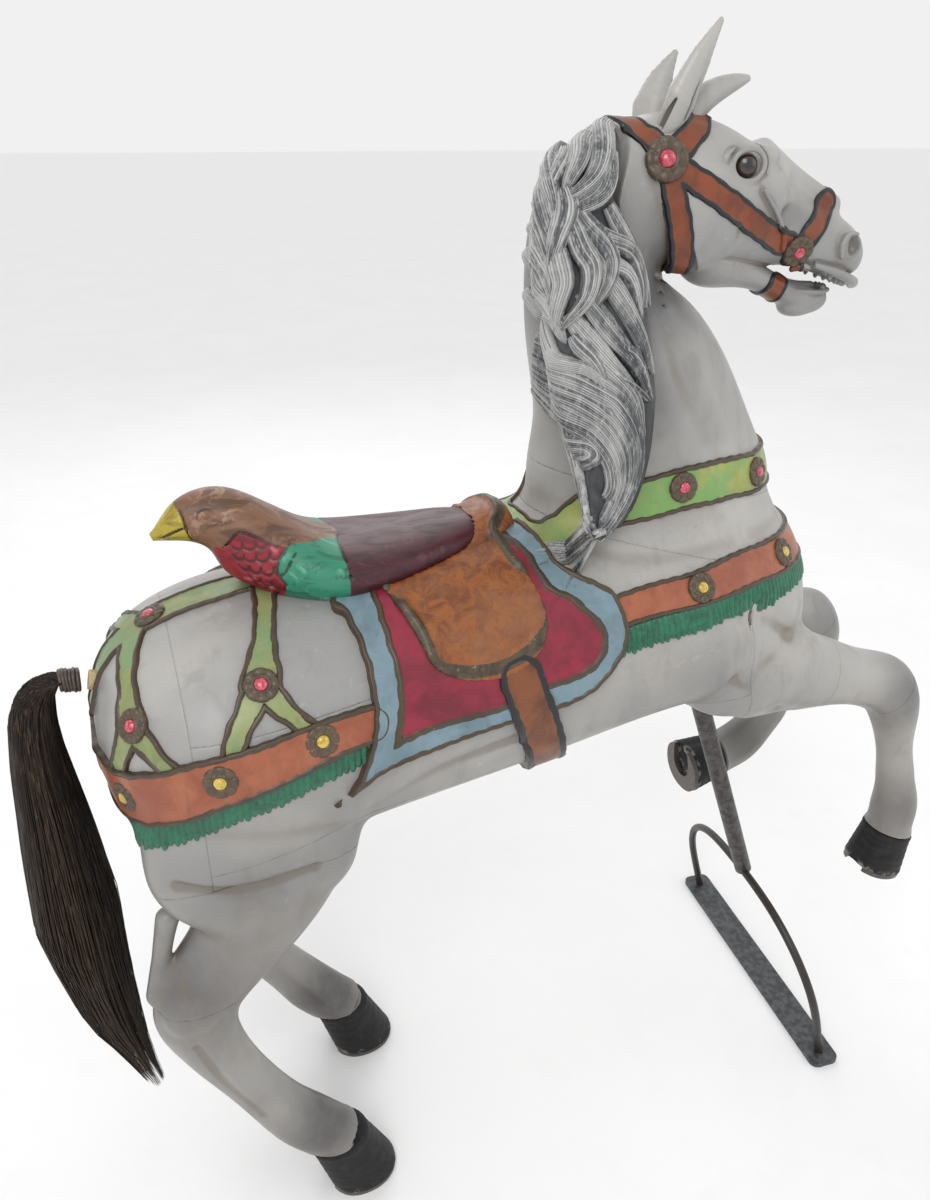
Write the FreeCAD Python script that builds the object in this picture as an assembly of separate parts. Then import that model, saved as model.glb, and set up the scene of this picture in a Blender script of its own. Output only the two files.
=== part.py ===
import FreeCAD, Part
import math
import os

# A carved and painted jumping carousel horse on a display stand: a hollow trunk
# glued up from boards and blocks, a laminated neck with a carved mane, a head,
# four legs in two pieces each, a saddle whose cantle is a bird, a horsehair
# tail, and a steel pole, bow and bar that hold up the front.
# Millimetres. +Z up, the floor at z = 0, the horse faces +X, its right is -Y.

Vec = FreeCAD.Vector
SIDE = Vec(0, 1, 0)
UP = Vec(0, 0, 1)
RIGHT = -1
LEFT = 1

# Driving dimensions: trunk
WALL = 36                 # thickness of the hollow trunk's boards
VOID_REAR = -390          # the hollow runs between these two stations
VOID_FRONT = 120
BACK_SEAM = 798           # height of the back board's seam at x = 0
BELLY_SEAM = 655          # height of the belly board's seam at x = 0
SEAM_SLOPE = 0.10         # both seams climb towards the chest
RUMP_SEAM = -420          # planes where the end blocks meet the boards
CHEST_SEAM = 185
# Neck and head
NECK_BASE = Vec(20, 0, 928)       # a point on the seam at the neck's foot
NECK_BASE_SLOPE = 0.19            # the seam falls towards the chest
NECK_SEAM = Vec(48, 0, 995)       # a point on the glue line up the neck
NECK_SEAM_LEAN = 0.32             # the glue line leans back as it rises
HEAD_PIVOT = Vec(60, 0, 1200)
HEAD_TURN = -10                   # degrees, to the horse's right
EYE_R = 13
# Legs
HIP_Y = {RIGHT: -88, LEFT: 112}    # the hind legs' distance from the middle
SHOULDER_Y = {RIGHT: -98, LEFT: 98}
HOCK_X = {RIGHT: -457, LEFT: -414}
HIND_HOOF_X = {RIGHT: -287, LEFT: -230}
SHOE_THICK = 7
# Saddle
SADDLE_THICK = 9                  # how far the leather stands off the trunk
# Small parts
JEWEL_R = 7.5
DOWEL_R = 8
TAIL_PEG_R = 10
TAIL_KNOT = Vec(-512, 0, 771)     # the tail's two swings cross here
TAIL_KNOT_R = 11
# Stand
POLE_R = 12.5
POLE_TOP = Vec(217, 0, 640)
POLE_FOOT = Vec(371, 0, 226)
ROD_R = 6                         # bow
BOW_HALF_SPAN = 184
BOW_HEIGHT = 228
BOW_LEAN = 15                     # degrees, leaning back
BAR_CENTRE = Vec(427, 0, 0)
BAR_LENGTH = 410
BAR_WIDTH = 45
BAR_THICK = 7
BAR_CORNER = 12
BAR_TWIST = -6                    # degrees about the vertical
# Cutting blocks
OVAL_POINTS = 18                  # points on each section's outline
FAR = 1400                        # reaches past the horse in every direction


# Shapes that repeat

def oval(centre, normal, half_side, half_up, half_down, power=2.1, taper=0.0):
    """A smooth closed wire square to normal. taper narrows the upper half."""
    n = Vec(normal).normalize()
    s = (SIDE - n * SIDE.dot(n)).normalize()
    up = n.cross(s)
    points = []
    for i in range(OVAL_POINTS):
        angle = 2 * math.pi * i / OVAL_POINTS
        c = math.cos(angle)
        v = math.sin(angle)
        across = half_side * math.copysign(abs(c) ** (2 / power), c)
        along = (half_up if v > 0 else half_down) * math.copysign(abs(v) ** (2 / power), v)
        across *= 1 - taper * v
        points.append(centre + s * across + up * along)
    curve = Part.BSplineCurve()
    curve.interpolate(points, PeriodicFlag=True)
    return Part.Wire([curve.toShape()])


def limb(stations):
    """A solid through stations (x, y, z, half side, half front, half back, ...)."""
    centres = [Vec(*s[:3]) for s in stations]
    last = len(stations) - 1
    wires = []
    for i, station in enumerate(stations):
        direction = centres[min(i + 1, last)] - centres[max(i - 1, 0)]
        wires.append(oval(centres[i], direction, *station[3:]))
    return Part.makeLoft(wires, True, False)


def box(x0, x1, y0, y1, z0, z1):
    return Part.makeBox(x1 - x0, y1 - y0, z1 - z0, Vec(x0, y0, z0))


def half_space(point, normal, size=FAR):
    """A big block on the side of a plane that its normal points to."""
    n = Vec(normal).normalize()
    block = Part.makeBox(size, size, size, Vec(-size / 2, -size / 2, 0))
    block.Placement = FreeCAD.Placement(point, FreeCAD.Rotation(Vec(0, 0, 1), n))
    return block


def slab(x0, x1, y0=-FAR, y1=FAR):
    """A full-height block between two stations along the horse."""
    return box(x0, x1, y0, y1, 0, FAR)


def rod(start, end, radius):
    along = end - start
    return Part.makeCylinder(radius, along.Length, start, along)


def biggest(shape):
    return max(shape.Solids, key=lambda s: s.Volume)


def extruded(outline, width):
    """A block through the whole horse, along Y, from an outline of (x, z) points."""
    points = [Vec(x, -width, z) for x, z in outline]
    curve = Part.BSplineCurve()
    curve.interpolate(points, PeriodicFlag=True)
    return Part.Face(Part.Wire([curve.toShape()])).extrude(SIDE * (2 * width))


def skin_point(solid, x, z, side):
    """The point where a line along Y first meets the solid's side, and its normal."""
    def hit(px, pz):
        line = Part.makeLine(Vec(px, side * 400, pz), Vec(px, 0, pz))
        inside = line.common(solid)
        return max((v.Point for v in inside.Vertexes), key=lambda p: abs(p.y))
    step = 5
    along_x = hit(x + step, z) - hit(x - step, z)
    along_z = hit(x, z + step) - hit(x, z - step)
    normal = along_z.cross(along_x).normalize()
    if normal.y * side < 0:
        normal = normal * -1
    return hit(x, z), normal


# Trunk

TRUNK = [
    # x, centre z, half width, half up, half down, power, taper
    (-501, 714, 36, 28, 44, 2.0, 0.0),
    (-489, 712, 80, 64, 86, 2.0, 0.0),
    (-462, 710, 122, 98, 128, 2.1, 0.0),
    (-412, 712, 153, 119, 142, 2.2, 0.03),
    (-340, 715, 165, 130, 150, 2.2, 0.05),
    (-250, 718, 160, 134, 146, 2.2, 0.04),
    (-130, 722, 156, 140, 134, 2.2, 0.04),
    (-20, 728, 160, 150, 116, 2.2, 0.06),
    (80, 736, 164, 158, 100, 2.2, 0.08),
    (165, 738, 158, 162, 106, 2.2, 0.08),
    (235, 734, 138, 154, 122, 2.2, 0.06),
    (285, 730, 112, 132, 112, 2.1, 0.04),
    (318, 724, 76, 94, 80, 2.0, 0.0),
    (331, 720, 35, 44, 40, 2.0, 0.0),
]


def trunk_form(extra=0):
    """The whole trunk as one form, thicker all round by extra."""
    wires = []
    for x, z, half_side, half_up, half_down, power, taper in TRUNK:
        wires.append(oval(Vec(x, 0, z), Vec(1, 0, 0), half_side + extra,
                          half_up + extra, half_down + extra, power, taper))
    return Part.makeLoft(wires, True, False)


def hollow_form():
    wires = []
    for x, z, half_side, half_up, half_down, power, taper in TRUNK:
        if VOID_REAR < x < VOID_FRONT:
            wires.append(oval(Vec(x, 0, z), Vec(1, 0, 0), half_side - WALL,
                              half_up - WALL, half_down - WALL, power, taper))
    return Part.makeLoft(wires, True, False)


def trunk_boards(form):
    """The trunk's blocks and boards, cut along their glue lines."""
    shell = form.cut(hollow_form())
    seam_normal = Vec(-SEAM_SLOPE, 0, 1)
    above = half_space(Vec(0, 0, BACK_SEAM), seam_normal)
    below = half_space(Vec(0, 0, BELLY_SEAM), seam_normal * -1)
    middle = shell.common(slab(RUMP_SEAM, CHEST_SEAM))
    sides = middle.cut(above).cut(below)
    return {
        "rump_block": biggest(shell.common(slab(-FAR, RUMP_SEAM))),
        "chest_block": biggest(shell.common(slab(CHEST_SEAM, FAR))),
        "back_board": biggest(middle.common(above)),
        "belly_board": biggest(middle.common(below)),
        "right_side_board": biggest(sides.common(slab(-FAR, FAR, -FAR, 0))),
        "left_side_board": biggest(sides.common(slab(-FAR, FAR, 0, FAR))),
    }


# Neck, mane and head

def neck_form():
    return limb([
        (118, 0, 812, 104, 135, 150, 2.1),
        (116, 0, 872, 99, 140, 162, 2.1),
        (113, 0, 935, 89, 133, 140, 2.1),
        (97, 0, 1000, 79, 117, 112, 2.1),
        (74, 0, 1047, 71, 100, 94, 2.1),
        (50, 0, 1090, 64, 80, 76, 2.1),
        (42, 0, 1132, 59, 71, 68, 2.1),
        (46, 0, 1175, 55, 69, 72, 2.1),
        (64, 0, 1214, 47, 60, 62, 2.1),
        (88, 0, 1236, 33, 38, 40, 2.0),
    ])


def mane_form():
    """The carved locks that hang down the right of the neck."""
    return limb([
        (46, -12, 1256, 15, 15, 16),
        (22, -32, 1236, 28, 30, 34),
        (-2, -52, 1195, 34, 40, 44),
        (2, -66, 1140, 36, 52, 56),
        (12, -78, 1070, 36, 62, 58),
        (20, -92, 1000, 34, 60, 56),
        (18, -112, 935, 30, 50, 52),
        (-12, -134, 884, 20, 36, 36),
        (-38, -148, 858, 8, 12, 12),
    ])


def turned(shape):
    """The head's pieces are made facing +X and turn together about the poll."""
    shape = shape.copy()
    shape.rotate(HEAD_PIVOT, UP, HEAD_TURN)
    return shape


def head_form():
    """Skull and upper jaw, with the open lower jaw joined to it."""
    skull = limb([
        (44, 0, 1224, 22, 32, 34, 2.0),
        (56, 0, 1217, 40, 49, 56, 2.1),
        (92, 0, 1208, 51, 65, 74, 2.2),
        (138, 0, 1198, 54, 68, 70, 2.2),
        (184, 0, 1180, 50, 63, 54, 2.2),
        (226, 0, 1164, 38, 50, 36, 2.2),
        (270, 0, 1151, 31, 38, 26, 2.2),
        (304, 0, 1140, 30, 33, 24, 2.2),
        (326, 0, 1131, 24, 24, 18, 2.1),
        (336, 0, 1127, 12, 12, 8, 2.0),
    ])
    jaw = limb([
        (150, 0, 1146, 34, 26, 26, 2.0),
        (200, 0, 1126, 27, 18, 20, 2.0),
        (250, 0, 1106, 20, 12, 14, 2.0),
        (284, 0, 1095, 19, 12, 17, 2.0),
        (304, 0, 1094, 12, 9, 8, 2.0),
    ])
    return skull.fuse(jaw).removeSplitter()


def ear_form(side, tip_x, tip_z):
    return turned(limb([
        (100, side * 26, 1256, 13, 12, 13, 2.0),
        (107, side * 30, 1284, 14, 12, 13, 2.0),
        (120, side * 34, 1314, 11, 9, 10, 2.0),
        (tip_x, side * 36, tip_z, 3, 3, 3, 2.0),
    ]))


def forelock_form():
    return turned(limb([
        (126, 0, 1250, 20, 12, 12, 2.0),
        (138, 0, 1276, 18, 14, 13, 2.0),
        (162, 0, 1291, 13, 11, 10, 2.0),
        (190, 0, 1300, 4, 3, 3, 2.0),
    ]))


def eye_form(side):
    return turned(Part.makeSphere(EYE_R, Vec(177, side * 37, 1225)))


# Legs

def hind_leg(side):
    """Thigh, shank and cannon down to the coronet, in one form."""
    y = HIP_Y[side]
    hock = HOCK_X[side] + 457
    foot = HIND_HOOF_X[side] + 285
    return limb([
        (-366 + 0.1 * hock, y * 0.86, 668, 60, 96, 96, 2.1),
        (-366 + 0.2 * hock, y * 0.92, 610, 62, 104, 104, 2.1),
        (-368 + 0.3 * hock, y * 0.96, 558, 56, 96, 92, 2.1),
        (-378 + 0.4 * hock, y, 508, 46, 72, 68, 2.0),
        (-405 + 0.7 * hock, y, 458, 37, 54, 54, 2.0),
        (-438 + 0.9 * hock, y, 418, 33, 50, 50, 2.0),
        (-455 + hock, y, 380, 32, 47, 46, 2.0),
        (-450 + hock, y, 338, 28, 38, 38, 2.0),
        (-434 + hock, y, 288, 25, 33, 31, 2.0),
        (-402 + 0.5 * (hock + foot), y, 222, 24, 30, 29, 2.0),
        (-372 + foot, y, 168, 27, 31, 33, 2.0),
        (-350 + foot, y, 136, 30, 32, 37, 2.0),
        (-328 + foot, y, 106, 31, 33, 36, 2.0),
        (-314 + foot, y, 84, 34, 36, 39, 2.0),
    ])


RIGHT_FORE = [
    # x, z, half width, half front, half back
    (228, 668, 50, 60, 58),
    (290, 656, 42, 50, 50),
    (366, 636, 34, 40, 40),
    (432, 613, 33, 36, 36),
    (472, 587, 33, 36, 36),
    (493, 552, 29, 30, 32),
    (507, 506, 22, 23, 25),
    (522, 452, 21, 22, 24),
    (534, 410, 23, 25, 28),
    (541, 380, 27, 28, 33),
    (541, 354, 28, 29, 31),
    (539, 334, 31, 32, 33),
]
LEFT_FORE = [
    (228, 668, 50, 60, 58),
    (300, 654, 42, 50, 50),
    (390, 630, 35, 42, 40),
    (468, 607, 33, 37, 37),
    (514, 584, 33, 36, 36),
    (526, 548, 29, 30, 34),
    (500, 503, 23, 23, 26),
    (466, 454, 21, 22, 24),
    (437, 416, 24, 25, 30),
    (412, 394, 27, 28, 33),
    (386, 384, 28, 29, 31),
    (366, 379, 30, 31, 33),
]
FORE_PATH = {RIGHT: RIGHT_FORE, LEFT: LEFT_FORE}
FORE_SOLE = {RIGHT: Vec(522, SHOULDER_Y[RIGHT], 268), LEFT: Vec(304, SHOULDER_Y[LEFT], 372)}


def fore_leg(side):
    y = SHOULDER_Y[side]
    return limb([(x, y * (0.92 if x < 240 else 1), z, w, f, b, 2.0)
                 for x, z, w, f, b in FORE_PATH[side]])


def hoof_and_shoe(coronet, sole, half_side, half_front, half_back):
    """A hoof that widens from the coronet, and the open shoe under its sole."""
    along = (sole - coronet).normalize()
    front = along.cross(SIDE).normalize()
    seat = sole - along * SHOE_THICK
    middle = coronet * 0.45 + seat * 0.55
    wires = [
        oval(coronet, along, half_side * 0.84, half_front * 0.78, half_back * 0.86, 2.0),
        oval(middle, along, half_side * 0.93, half_front * 0.90, half_back * 0.95, 2.1),
        oval(seat, along, half_side, half_front, half_back, 2.2),
    ]
    hoof = Part.makeLoft(wires, True, False)
    outline = oval(seat, along, half_side, half_front, half_back, 2.2)
    inner = oval(seat - along - front * (0.25 * half_back), along, half_side * 0.5,
                 half_front * 0.62, half_back * 1.1, 2.2)
    shoe = Part.Face(outline).extrude(along * SHOE_THICK)
    gap = Part.Face(inner).extrude(along * (SHOE_THICK + 2))
    return hoof, biggest(shoe.cut(gap))


def hind_hoof(side):
    """A hind foot stands flat on the floor, so its sole is level."""
    y = HIP_Y[side]
    x = HIND_HOOF_X[side]
    down = Vec(0, 0, -1)
    wires = [
        oval(Vec(x - 30, y, 88), down, 35, 37, 38, 2.0),
        oval(Vec(x - 14, y, 48), down, 37, 43, 41, 2.1),
        oval(Vec(x, y, SHOE_THICK), down, 40, 48, 42, 2.2),
    ]
    shoe = Part.Face(wires[-1]).extrude(down * SHOE_THICK)
    gap = Part.Face(oval(Vec(x - 12, y, SHOE_THICK + 1), down, 20, 28, 48, 2.2))
    shoe = shoe.cut(gap.extrude(down * (SHOE_THICK + 2)))
    return Part.makeLoft(wires, True, False), biggest(shoe)


def fore_hoof(side):
    x, z = FORE_PATH[side][-1][:2]
    return hoof_and_shoe(Vec(x, SHOULDER_Y[side], z), FORE_SOLE[side], 38, 41, 38)


LEG_SEAMS = {
    # a point on the seam between each leg's two pieces, and its downward normal
    "right_hind": (Vec(-448, 0, 402), Vec(-0.1, 0, -1)),
    "left_hind": (Vec(-406, 0, 402), Vec(-0.1, 0, -1)),
    "right_fore": (Vec(468, 0, 588), Vec(0.75, 0, -0.66)),
    "left_fore": (Vec(510, 0, 588), Vec(0.55, 0, -0.83)),
}


def legs(trunk):
    """Each leg as an upper piece, a lower piece with its hoof, and a shoe."""
    forms = {
        "right_hind": (hind_leg(RIGHT), hind_hoof(RIGHT)),
        "left_hind": (hind_leg(LEFT), hind_hoof(LEFT)),
        "right_fore": (fore_leg(RIGHT), fore_hoof(RIGHT)),
        "left_fore": (fore_leg(LEFT), fore_hoof(LEFT)),
    }
    made = {}
    for name, (form, (hoof, shoe)) in forms.items():
        point, normal = LEG_SEAMS[name]
        lower_side = half_space(point, normal, 700)
        free = biggest(form.cut(trunk))
        lower = biggest(free.common(lower_side))
        made[name + "_upper"] = biggest(free.cut(lower_side))
        made[name + "_lower"] = biggest(lower.fuse(hoof).removeSplitter())
        made[name + "_shoe"] = shoe
    return made


# Saddle and bird

SADDLE_OUTLINE = [
    (-262, 930), (-262, 880), (-222, 858), (-200, 824), (-184, 790), (-146, 773),
    (-103, 774), (-72, 794), (-62, 826), (-70, 858), (-66, 900), (-40, 935), (-120, 980),
]


def saddle_form(trunk):
    """Seat and both flaps, bent over the back, with a raised pommel in front."""
    leather = trunk_form(SADDLE_THICK).common(extruded(SADDLE_OUTLINE, 260))
    pommel = limb([
        (-150, 0, 858, 50, 16, 26, 2.2),
        (-105, 0, 866, 48, 18, 26, 2.2),
        (-74, 0, 874, 40, 22, 30, 2.2),
        (-52, 0, 880, 28, 17, 28, 2.2),
    ])
    return biggest(leather.fuse(pommel).cut(trunk).removeSplitter())


def bird_form():
    """The bird that makes the cantle: head to the tail, wings folded on the seat."""
    return limb([
        (-420, 0, 908, 4, 4, 4, 2.0),
        (-406, 0, 913, 12, 12, 11, 2.0),
        (-390, 0, 919, 20, 22, 19, 2.0),
        (-360, 0, 920, 28, 30, 33, 2.0),
        (-332, 0, 904, 41, 32, 46, 2.0),
        (-298, 0, 880, 62, 32, 46, 2.1),
        (-258, 0, 864, 76, 28, 42, 2.2),
        (-200, 0, 862, 72, 24, 34, 2.2),
        (-140, 0, 868, 56, 19, 30, 2.2),
        (-98, 0, 875, 36, 13, 24, 2.1),
        (-84, 0, 878, 18, 8, 12, 2.0),
    ])


# Jewels, dowels, tail

# Places as (x, z), on both sides unless said; the bridle's before the head turns
COLLAR_JEWELS = [(113, 918), (222, 914)]
CRUPPER_JEWELS = [(-350, 799), (-463, 766)]
BRIDLE_JEWELS = [(92, 1230), (250, 1146)]
CROUP_JEWEL = Vec(-433, 0, 826)      # one alone, on top of the croup
BREAST_JEWELS = [(116, 820), (247, 826)]
HIP_JEWELS = [(-399, 726), (-305, 748), (-478, 691)]


def jewels(solid, places):
    """Domed glass stones, half sunk in both sides of the trunk or neck."""
    stones = []
    for x, z in places:
        for side in (RIGHT, LEFT):
            centre, normal = skin_point(solid, x, z, side)
            stones.append(Part.makeSphere(JEWEL_R, centre + normal * 2))
    return stones


def dowel_ends():
    """Where the wooden pins across the glue joints start and end."""
    pins = {"hip_dowels": [], "shoulder_dowels": [], "neck_dowels": [], "head_dowels": []}
    for side in (RIGHT, LEFT):
        hip = HIP_Y[side] * 0.96
        shoulder = SHOULDER_Y[side]
        for x in (-400, -340):
            pins["hip_dowels"].append((Vec(x, hip, 545), Vec(x, hip, 625)))
        pins["shoulder_dowels"].append((Vec(255, shoulder * 0.8, 672),
                                        Vec(345, shoulder * 0.98, 645)))
        pins["neck_dowels"].append((Vec(150, side * 45, 850), Vec(150, side * 45, 955)))
        pins["head_dowels"].append((Vec(88, side * 18, 1175), Vec(98, side * 18, 1228)))
    pins["knee_and_hock_dowels"] = [
        (Vec(-442, HIP_Y[RIGHT], 437), Vec(-454, HIP_Y[RIGHT], 365)),
        (Vec(-400, HIP_Y[LEFT], 437), Vec(-412, HIP_Y[LEFT], 365)),
        (Vec(446, SHOULDER_Y[RIGHT], 606), Vec(487, SHOULDER_Y[RIGHT], 562)),
        (Vec(494, SHOULDER_Y[LEFT], 608), Vec(522, SHOULDER_Y[LEFT], 560)),
    ]
    return pins


def dowels():
    return {name: Part.makeCompound([rod(a, b, DOWEL_R) for a, b in ends])
            for name, ends in dowel_ends().items()}


def tail_hair():
    """The hair bundle, from just outside its binding to the tips."""
    return limb([
        (-524, 0, 774, 12, 11, 11, 2.0),
        (-537, 0, 774, 20, 15, 17, 2.0),
        (-550, 0, 754, 30, 23, 24, 2.0),
        (-555, 0, 705, 38, 30, 29, 2.0),
        (-553, 0, 620, 42, 33, 31, 2.0),
        (-551, 0, 530, 46, 36, 33, 2.0),
        (-548, 0, 440, 46, 35, 33, 2.0),
        (-542, 0, 350, 40, 31, 30, 2.0),
        (-530, 0, 265, 28, 22, 22, 2.0),
        (-516, 0, 190, 8, 8, 8, 2.0),
    ])


# Stand

def bow_path():
    """The bow's centre line, in an upright plane across the horse, foot to foot."""
    half = [(BOW_HALF_SPAN, -10), (BOW_HALF_SPAN + 1, 40), (BOW_HALF_SPAN + 1, 92),
            (BOW_HALF_SPAN - 19, 155), (BOW_HALF_SPAN * 0.6, 207)]
    right = [Vec(0, -y, z) for y, z in half]
    left = [Vec(0, y, z) for y, z in reversed(half)]
    arch = Part.BSplineCurve()
    arch.interpolate(right + [Vec(0, 0, BOW_HEIGHT)] + left)
    return Part.Wire([arch.toShape()])


def stand():
    """The pole that carries the chest, the bow it is welded to, and the flat bar."""
    bar = Part.makeBox(BAR_WIDTH, BAR_LENGTH, BAR_THICK,
                       Vec(-BAR_WIDTH / 2, -BAR_LENGTH / 2, 0))
    uprights = [e for e in bar.Edges if abs(e.tangentAt(e.FirstParameter).z) > 0.9]
    bar = bar.makeFillet(BAR_CORNER, uprights)
    bar.rotate(Vec(), UP, BAR_TWIST)
    bar.translate(BAR_CENTRE)

    path = bow_path()
    edge = path.Edges[0]
    start = edge.valueAt(edge.FirstParameter)
    section = Part.Wire([Part.makeCircle(ROD_R, start, edge.tangentAt(edge.FirstParameter))])
    bow = path.makePipeShell([section], True, False)
    bow.rotate(Vec(), SIDE, -BOW_LEAN)
    bow.rotate(Vec(), UP, BAR_TWIST)
    bow.translate(BAR_CENTRE + UP * BAR_THICK)
    bow = biggest(Part.Solid(bow).common(half_space(Vec(0, 0, BAR_THICK), UP)))

    pole = biggest(rod(POLE_FOOT, POLE_TOP, POLE_R).cut(bow))
    return {"pole": pole, "stand_bow": bow, "base_bar": bar}


# Assembly

def neck_blocks(neck, trunk, head, mane):
    """The block at the neck's foot, and the two laminations above it."""
    free = neck.cut(trunk).cut(head).cut(mane)
    above = half_space(NECK_BASE, Vec(NECK_BASE_SLOPE, 0, 1))
    front = half_space(NECK_SEAM, Vec(1, 0, NECK_SEAM_LEAN))
    upper = free.common(above)
    return {
        "neck_base_block": biggest(free.cut(above)),
        "neck_front_block": biggest(upper.common(front)),
        "neck_rear_block": biggest(upper.cut(front)),
    }


def build():
    trunk = trunk_form()
    neck = neck_form()
    plain_head = head_form()
    head = turned(plain_head)
    mane = biggest(mane_form().cut(trunk).cut(head))
    bird = biggest(bird_form().cut(trunk))
    nodes = trunk_boards(trunk)
    nodes.update(neck_blocks(neck, trunk, head, mane))
    nodes["mane_block"] = mane
    nodes["head_block"] = head
    nodes["right_ear"] = biggest(ear_form(RIGHT, 139, 1343).cut(head))
    nodes["left_ear"] = biggest(ear_form(LEFT, 143, 1330).cut(head))
    nodes["forelock_block"] = biggest(forelock_form().cut(head))
    nodes["right_eye"] = eye_form(RIGHT)
    nodes["left_eye"] = eye_form(LEFT)
    nodes.update(legs(trunk))
    nodes["bird_cantle"] = bird
    nodes["saddle"] = biggest(saddle_form(trunk).cut(bird))
    nodes["red_jewels"] = Part.makeCompound(
        jewels(neck, COLLAR_JEWELS) + jewels(trunk, CRUPPER_JEWELS)
        + [turned(stone) for stone in jewels(plain_head, BRIDLE_JEWELS)]
        + [Part.makeSphere(JEWEL_R, CROUP_JEWEL)])
    nodes["yellow_jewels"] = Part.makeCompound(jewels(trunk, BREAST_JEWELS + HIP_JEWELS))
    nodes.update(dowels())
    nodes["tail_peg"] = rod(Vec(-440, 0, 752), Vec(-500, 0, 768), TAIL_PEG_R)
    nodes["tail_binding"] = Part.makeSphere(TAIL_KNOT_R, TAIL_KNOT)
    nodes["tail_hair"] = tail_hair()
    nodes.update(stand())
    return nodes


def main():
    os.makedirs("parts", exist_ok=True)
    for name, shape in build().items():
        print(f"{name:24s} valid {shape.isValid()}  solids {len(shape.Solids)}  "
              f"litres {shape.Volume / 1e6:.3f}")
        shape.exportStep(f"parts/{name}.step")


main()
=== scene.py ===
import math

import bmesh
import bpy
import numpy as np
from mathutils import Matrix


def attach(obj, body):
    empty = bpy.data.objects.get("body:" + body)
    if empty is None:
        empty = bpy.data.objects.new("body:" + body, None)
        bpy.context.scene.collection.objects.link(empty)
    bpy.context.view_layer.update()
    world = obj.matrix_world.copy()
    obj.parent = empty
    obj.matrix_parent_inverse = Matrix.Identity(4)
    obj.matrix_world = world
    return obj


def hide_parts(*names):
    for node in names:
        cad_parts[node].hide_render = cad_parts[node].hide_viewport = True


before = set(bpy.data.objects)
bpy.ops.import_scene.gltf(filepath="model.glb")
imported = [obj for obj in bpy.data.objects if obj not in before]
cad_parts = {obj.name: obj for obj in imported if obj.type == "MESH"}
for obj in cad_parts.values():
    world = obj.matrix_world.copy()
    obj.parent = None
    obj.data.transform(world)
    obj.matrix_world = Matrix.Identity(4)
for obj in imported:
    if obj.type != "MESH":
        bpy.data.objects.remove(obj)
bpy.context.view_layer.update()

import openvdb
from mathutils import Matrix, Vector
from mathutils.bvhtree import BVHTree

# The looks of the carved carousel horse. Its wood is sculpted as clay from the
# CAD forms, cut apart at the real glue lines, and dressed with carved trappings,
# a mane of carved locks, a bird cantle, jewels and a tail of loose hair.
# Lengths are metres. Lists of places are written in millimetres of the CAD
# frame and go through places().

rng = np.random.default_rng(7)

MM = 0.001
RIGHT = -1
LEFT = 1
SIDE_NAMES = {RIGHT: "right", LEFT: "left"}
BODY_VOXEL = 2.5 * MM
HEAD_VOXEL = 1.3 * MM
BIRD_VOXEL = 1.4 * MM
EAR_VOXEL = 1.1 * MM
FAR = 1.0
HEAD_TURN = math.radians(-10)          # the head looks a little to the right
HEAD_PIVOT = Vector((0.060, 0, 1.200))
UNTURN = Matrix.Translation(HEAD_PIVOT) @ Matrix.Rotation(-HEAD_TURN, 4,
                                                          "Z") @ Matrix.Translation(-HEAD_PIVOT)
TURN = UNTURN.inverted()


def places(points):
    """Rows of millimetres as rows of metres."""
    return np.array(points, float) * MM


def mirrored(points):
    """The same places on the horse's left."""
    flipped = np.array(points, float)
    flipped[:, 1] *= -1
    return flipped


# Meshes

def node_mesh(names, turn=None):
    """The joined vertices and triangles of CAD nodes."""
    points, triangles, count = [], [], 0
    for name in names:
        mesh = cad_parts[name].data
        mesh.calc_loop_triangles()
        co = np.empty(len(mesh.vertices) * 3, np.float32)
        mesh.vertices.foreach_get("co", co)
        corners = np.empty(len(mesh.loop_triangles) * 3, np.int32)
        mesh.loop_triangles.foreach_get("vertices", corners)
        points.append(co.reshape(-1, 3))
        triangles.append(corners.reshape(-1, 3) + count)
        count += len(mesh.vertices)
    points = np.concatenate(points)
    if turn is not None:
        m = np.array(turn)
        points = (points @ m[:3, :3].T + m[:3, 3]).astype(np.float32)
    return points, np.concatenate(triangles).astype(np.uint32)


def new_object(name, points, faces, smooth=True):
    mesh = bpy.data.meshes.new(name)
    mesh.from_pydata([tuple(p) for p in np.asarray(points, float)], [], faces)
    mesh.validate()
    obj = bpy.data.objects.new(name, mesh)
    bpy.context.scene.collection.objects.link(obj)
    if smooth:
        mesh.shade_smooth()
    return obj


def add_number(obj, name, values):
    attribute = obj.data.attributes.new(name, "FLOAT", "POINT")
    attribute.data.foreach_set("value", np.asarray(values, np.float32))


def add_colour(obj, name, values):
    values = np.asarray(values, np.float32)
    full = np.ones((len(values), 4), np.float32)
    full[:, :3] = values
    attribute = obj.data.attributes.new(name, "FLOAT_COLOR", "POINT")
    attribute.data.foreach_set("color", full.ravel())


def vertices(obj):
    co = np.empty(len(obj.data.vertices) * 3, np.float32)
    obj.data.vertices.foreach_get("co", co)
    return co.reshape(-1, 3).astype(float)


def smooth_path(points, step=4 * MM):
    """A Catmull-Rom curve through points. A point given twice is a corner."""
    points = np.array(points, float)
    runs, start = [], 0
    for i in range(1, len(points)):
        if np.allclose(points[i], points[i - 1]):
            runs.append(points[start:i])
            start = i
    runs.append(points[start:])
    out = []
    for run in runs:
        if len(run) < 2:
            continue
        padded = np.vstack([2 * run[0] - run[1], run, 2 * run[-1] - run[-2]])
        for i in range(1, len(padded) - 2):
            a, b, c, d = padded[i - 1:i + 3]
            count = max(2, int(np.linalg.norm(c - b) / step))
            t = np.linspace(0, 1, count, endpoint=False)[:, None]
            out.append(0.5 * (2 * b + (c - a) * t + (2 * a - 5 * b + 4 * c - d) * t**2
                              + (3 * b - a - 3 * c + d) * t**3))
        out.append(run[-1][None])
    return np.vstack(out)


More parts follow.
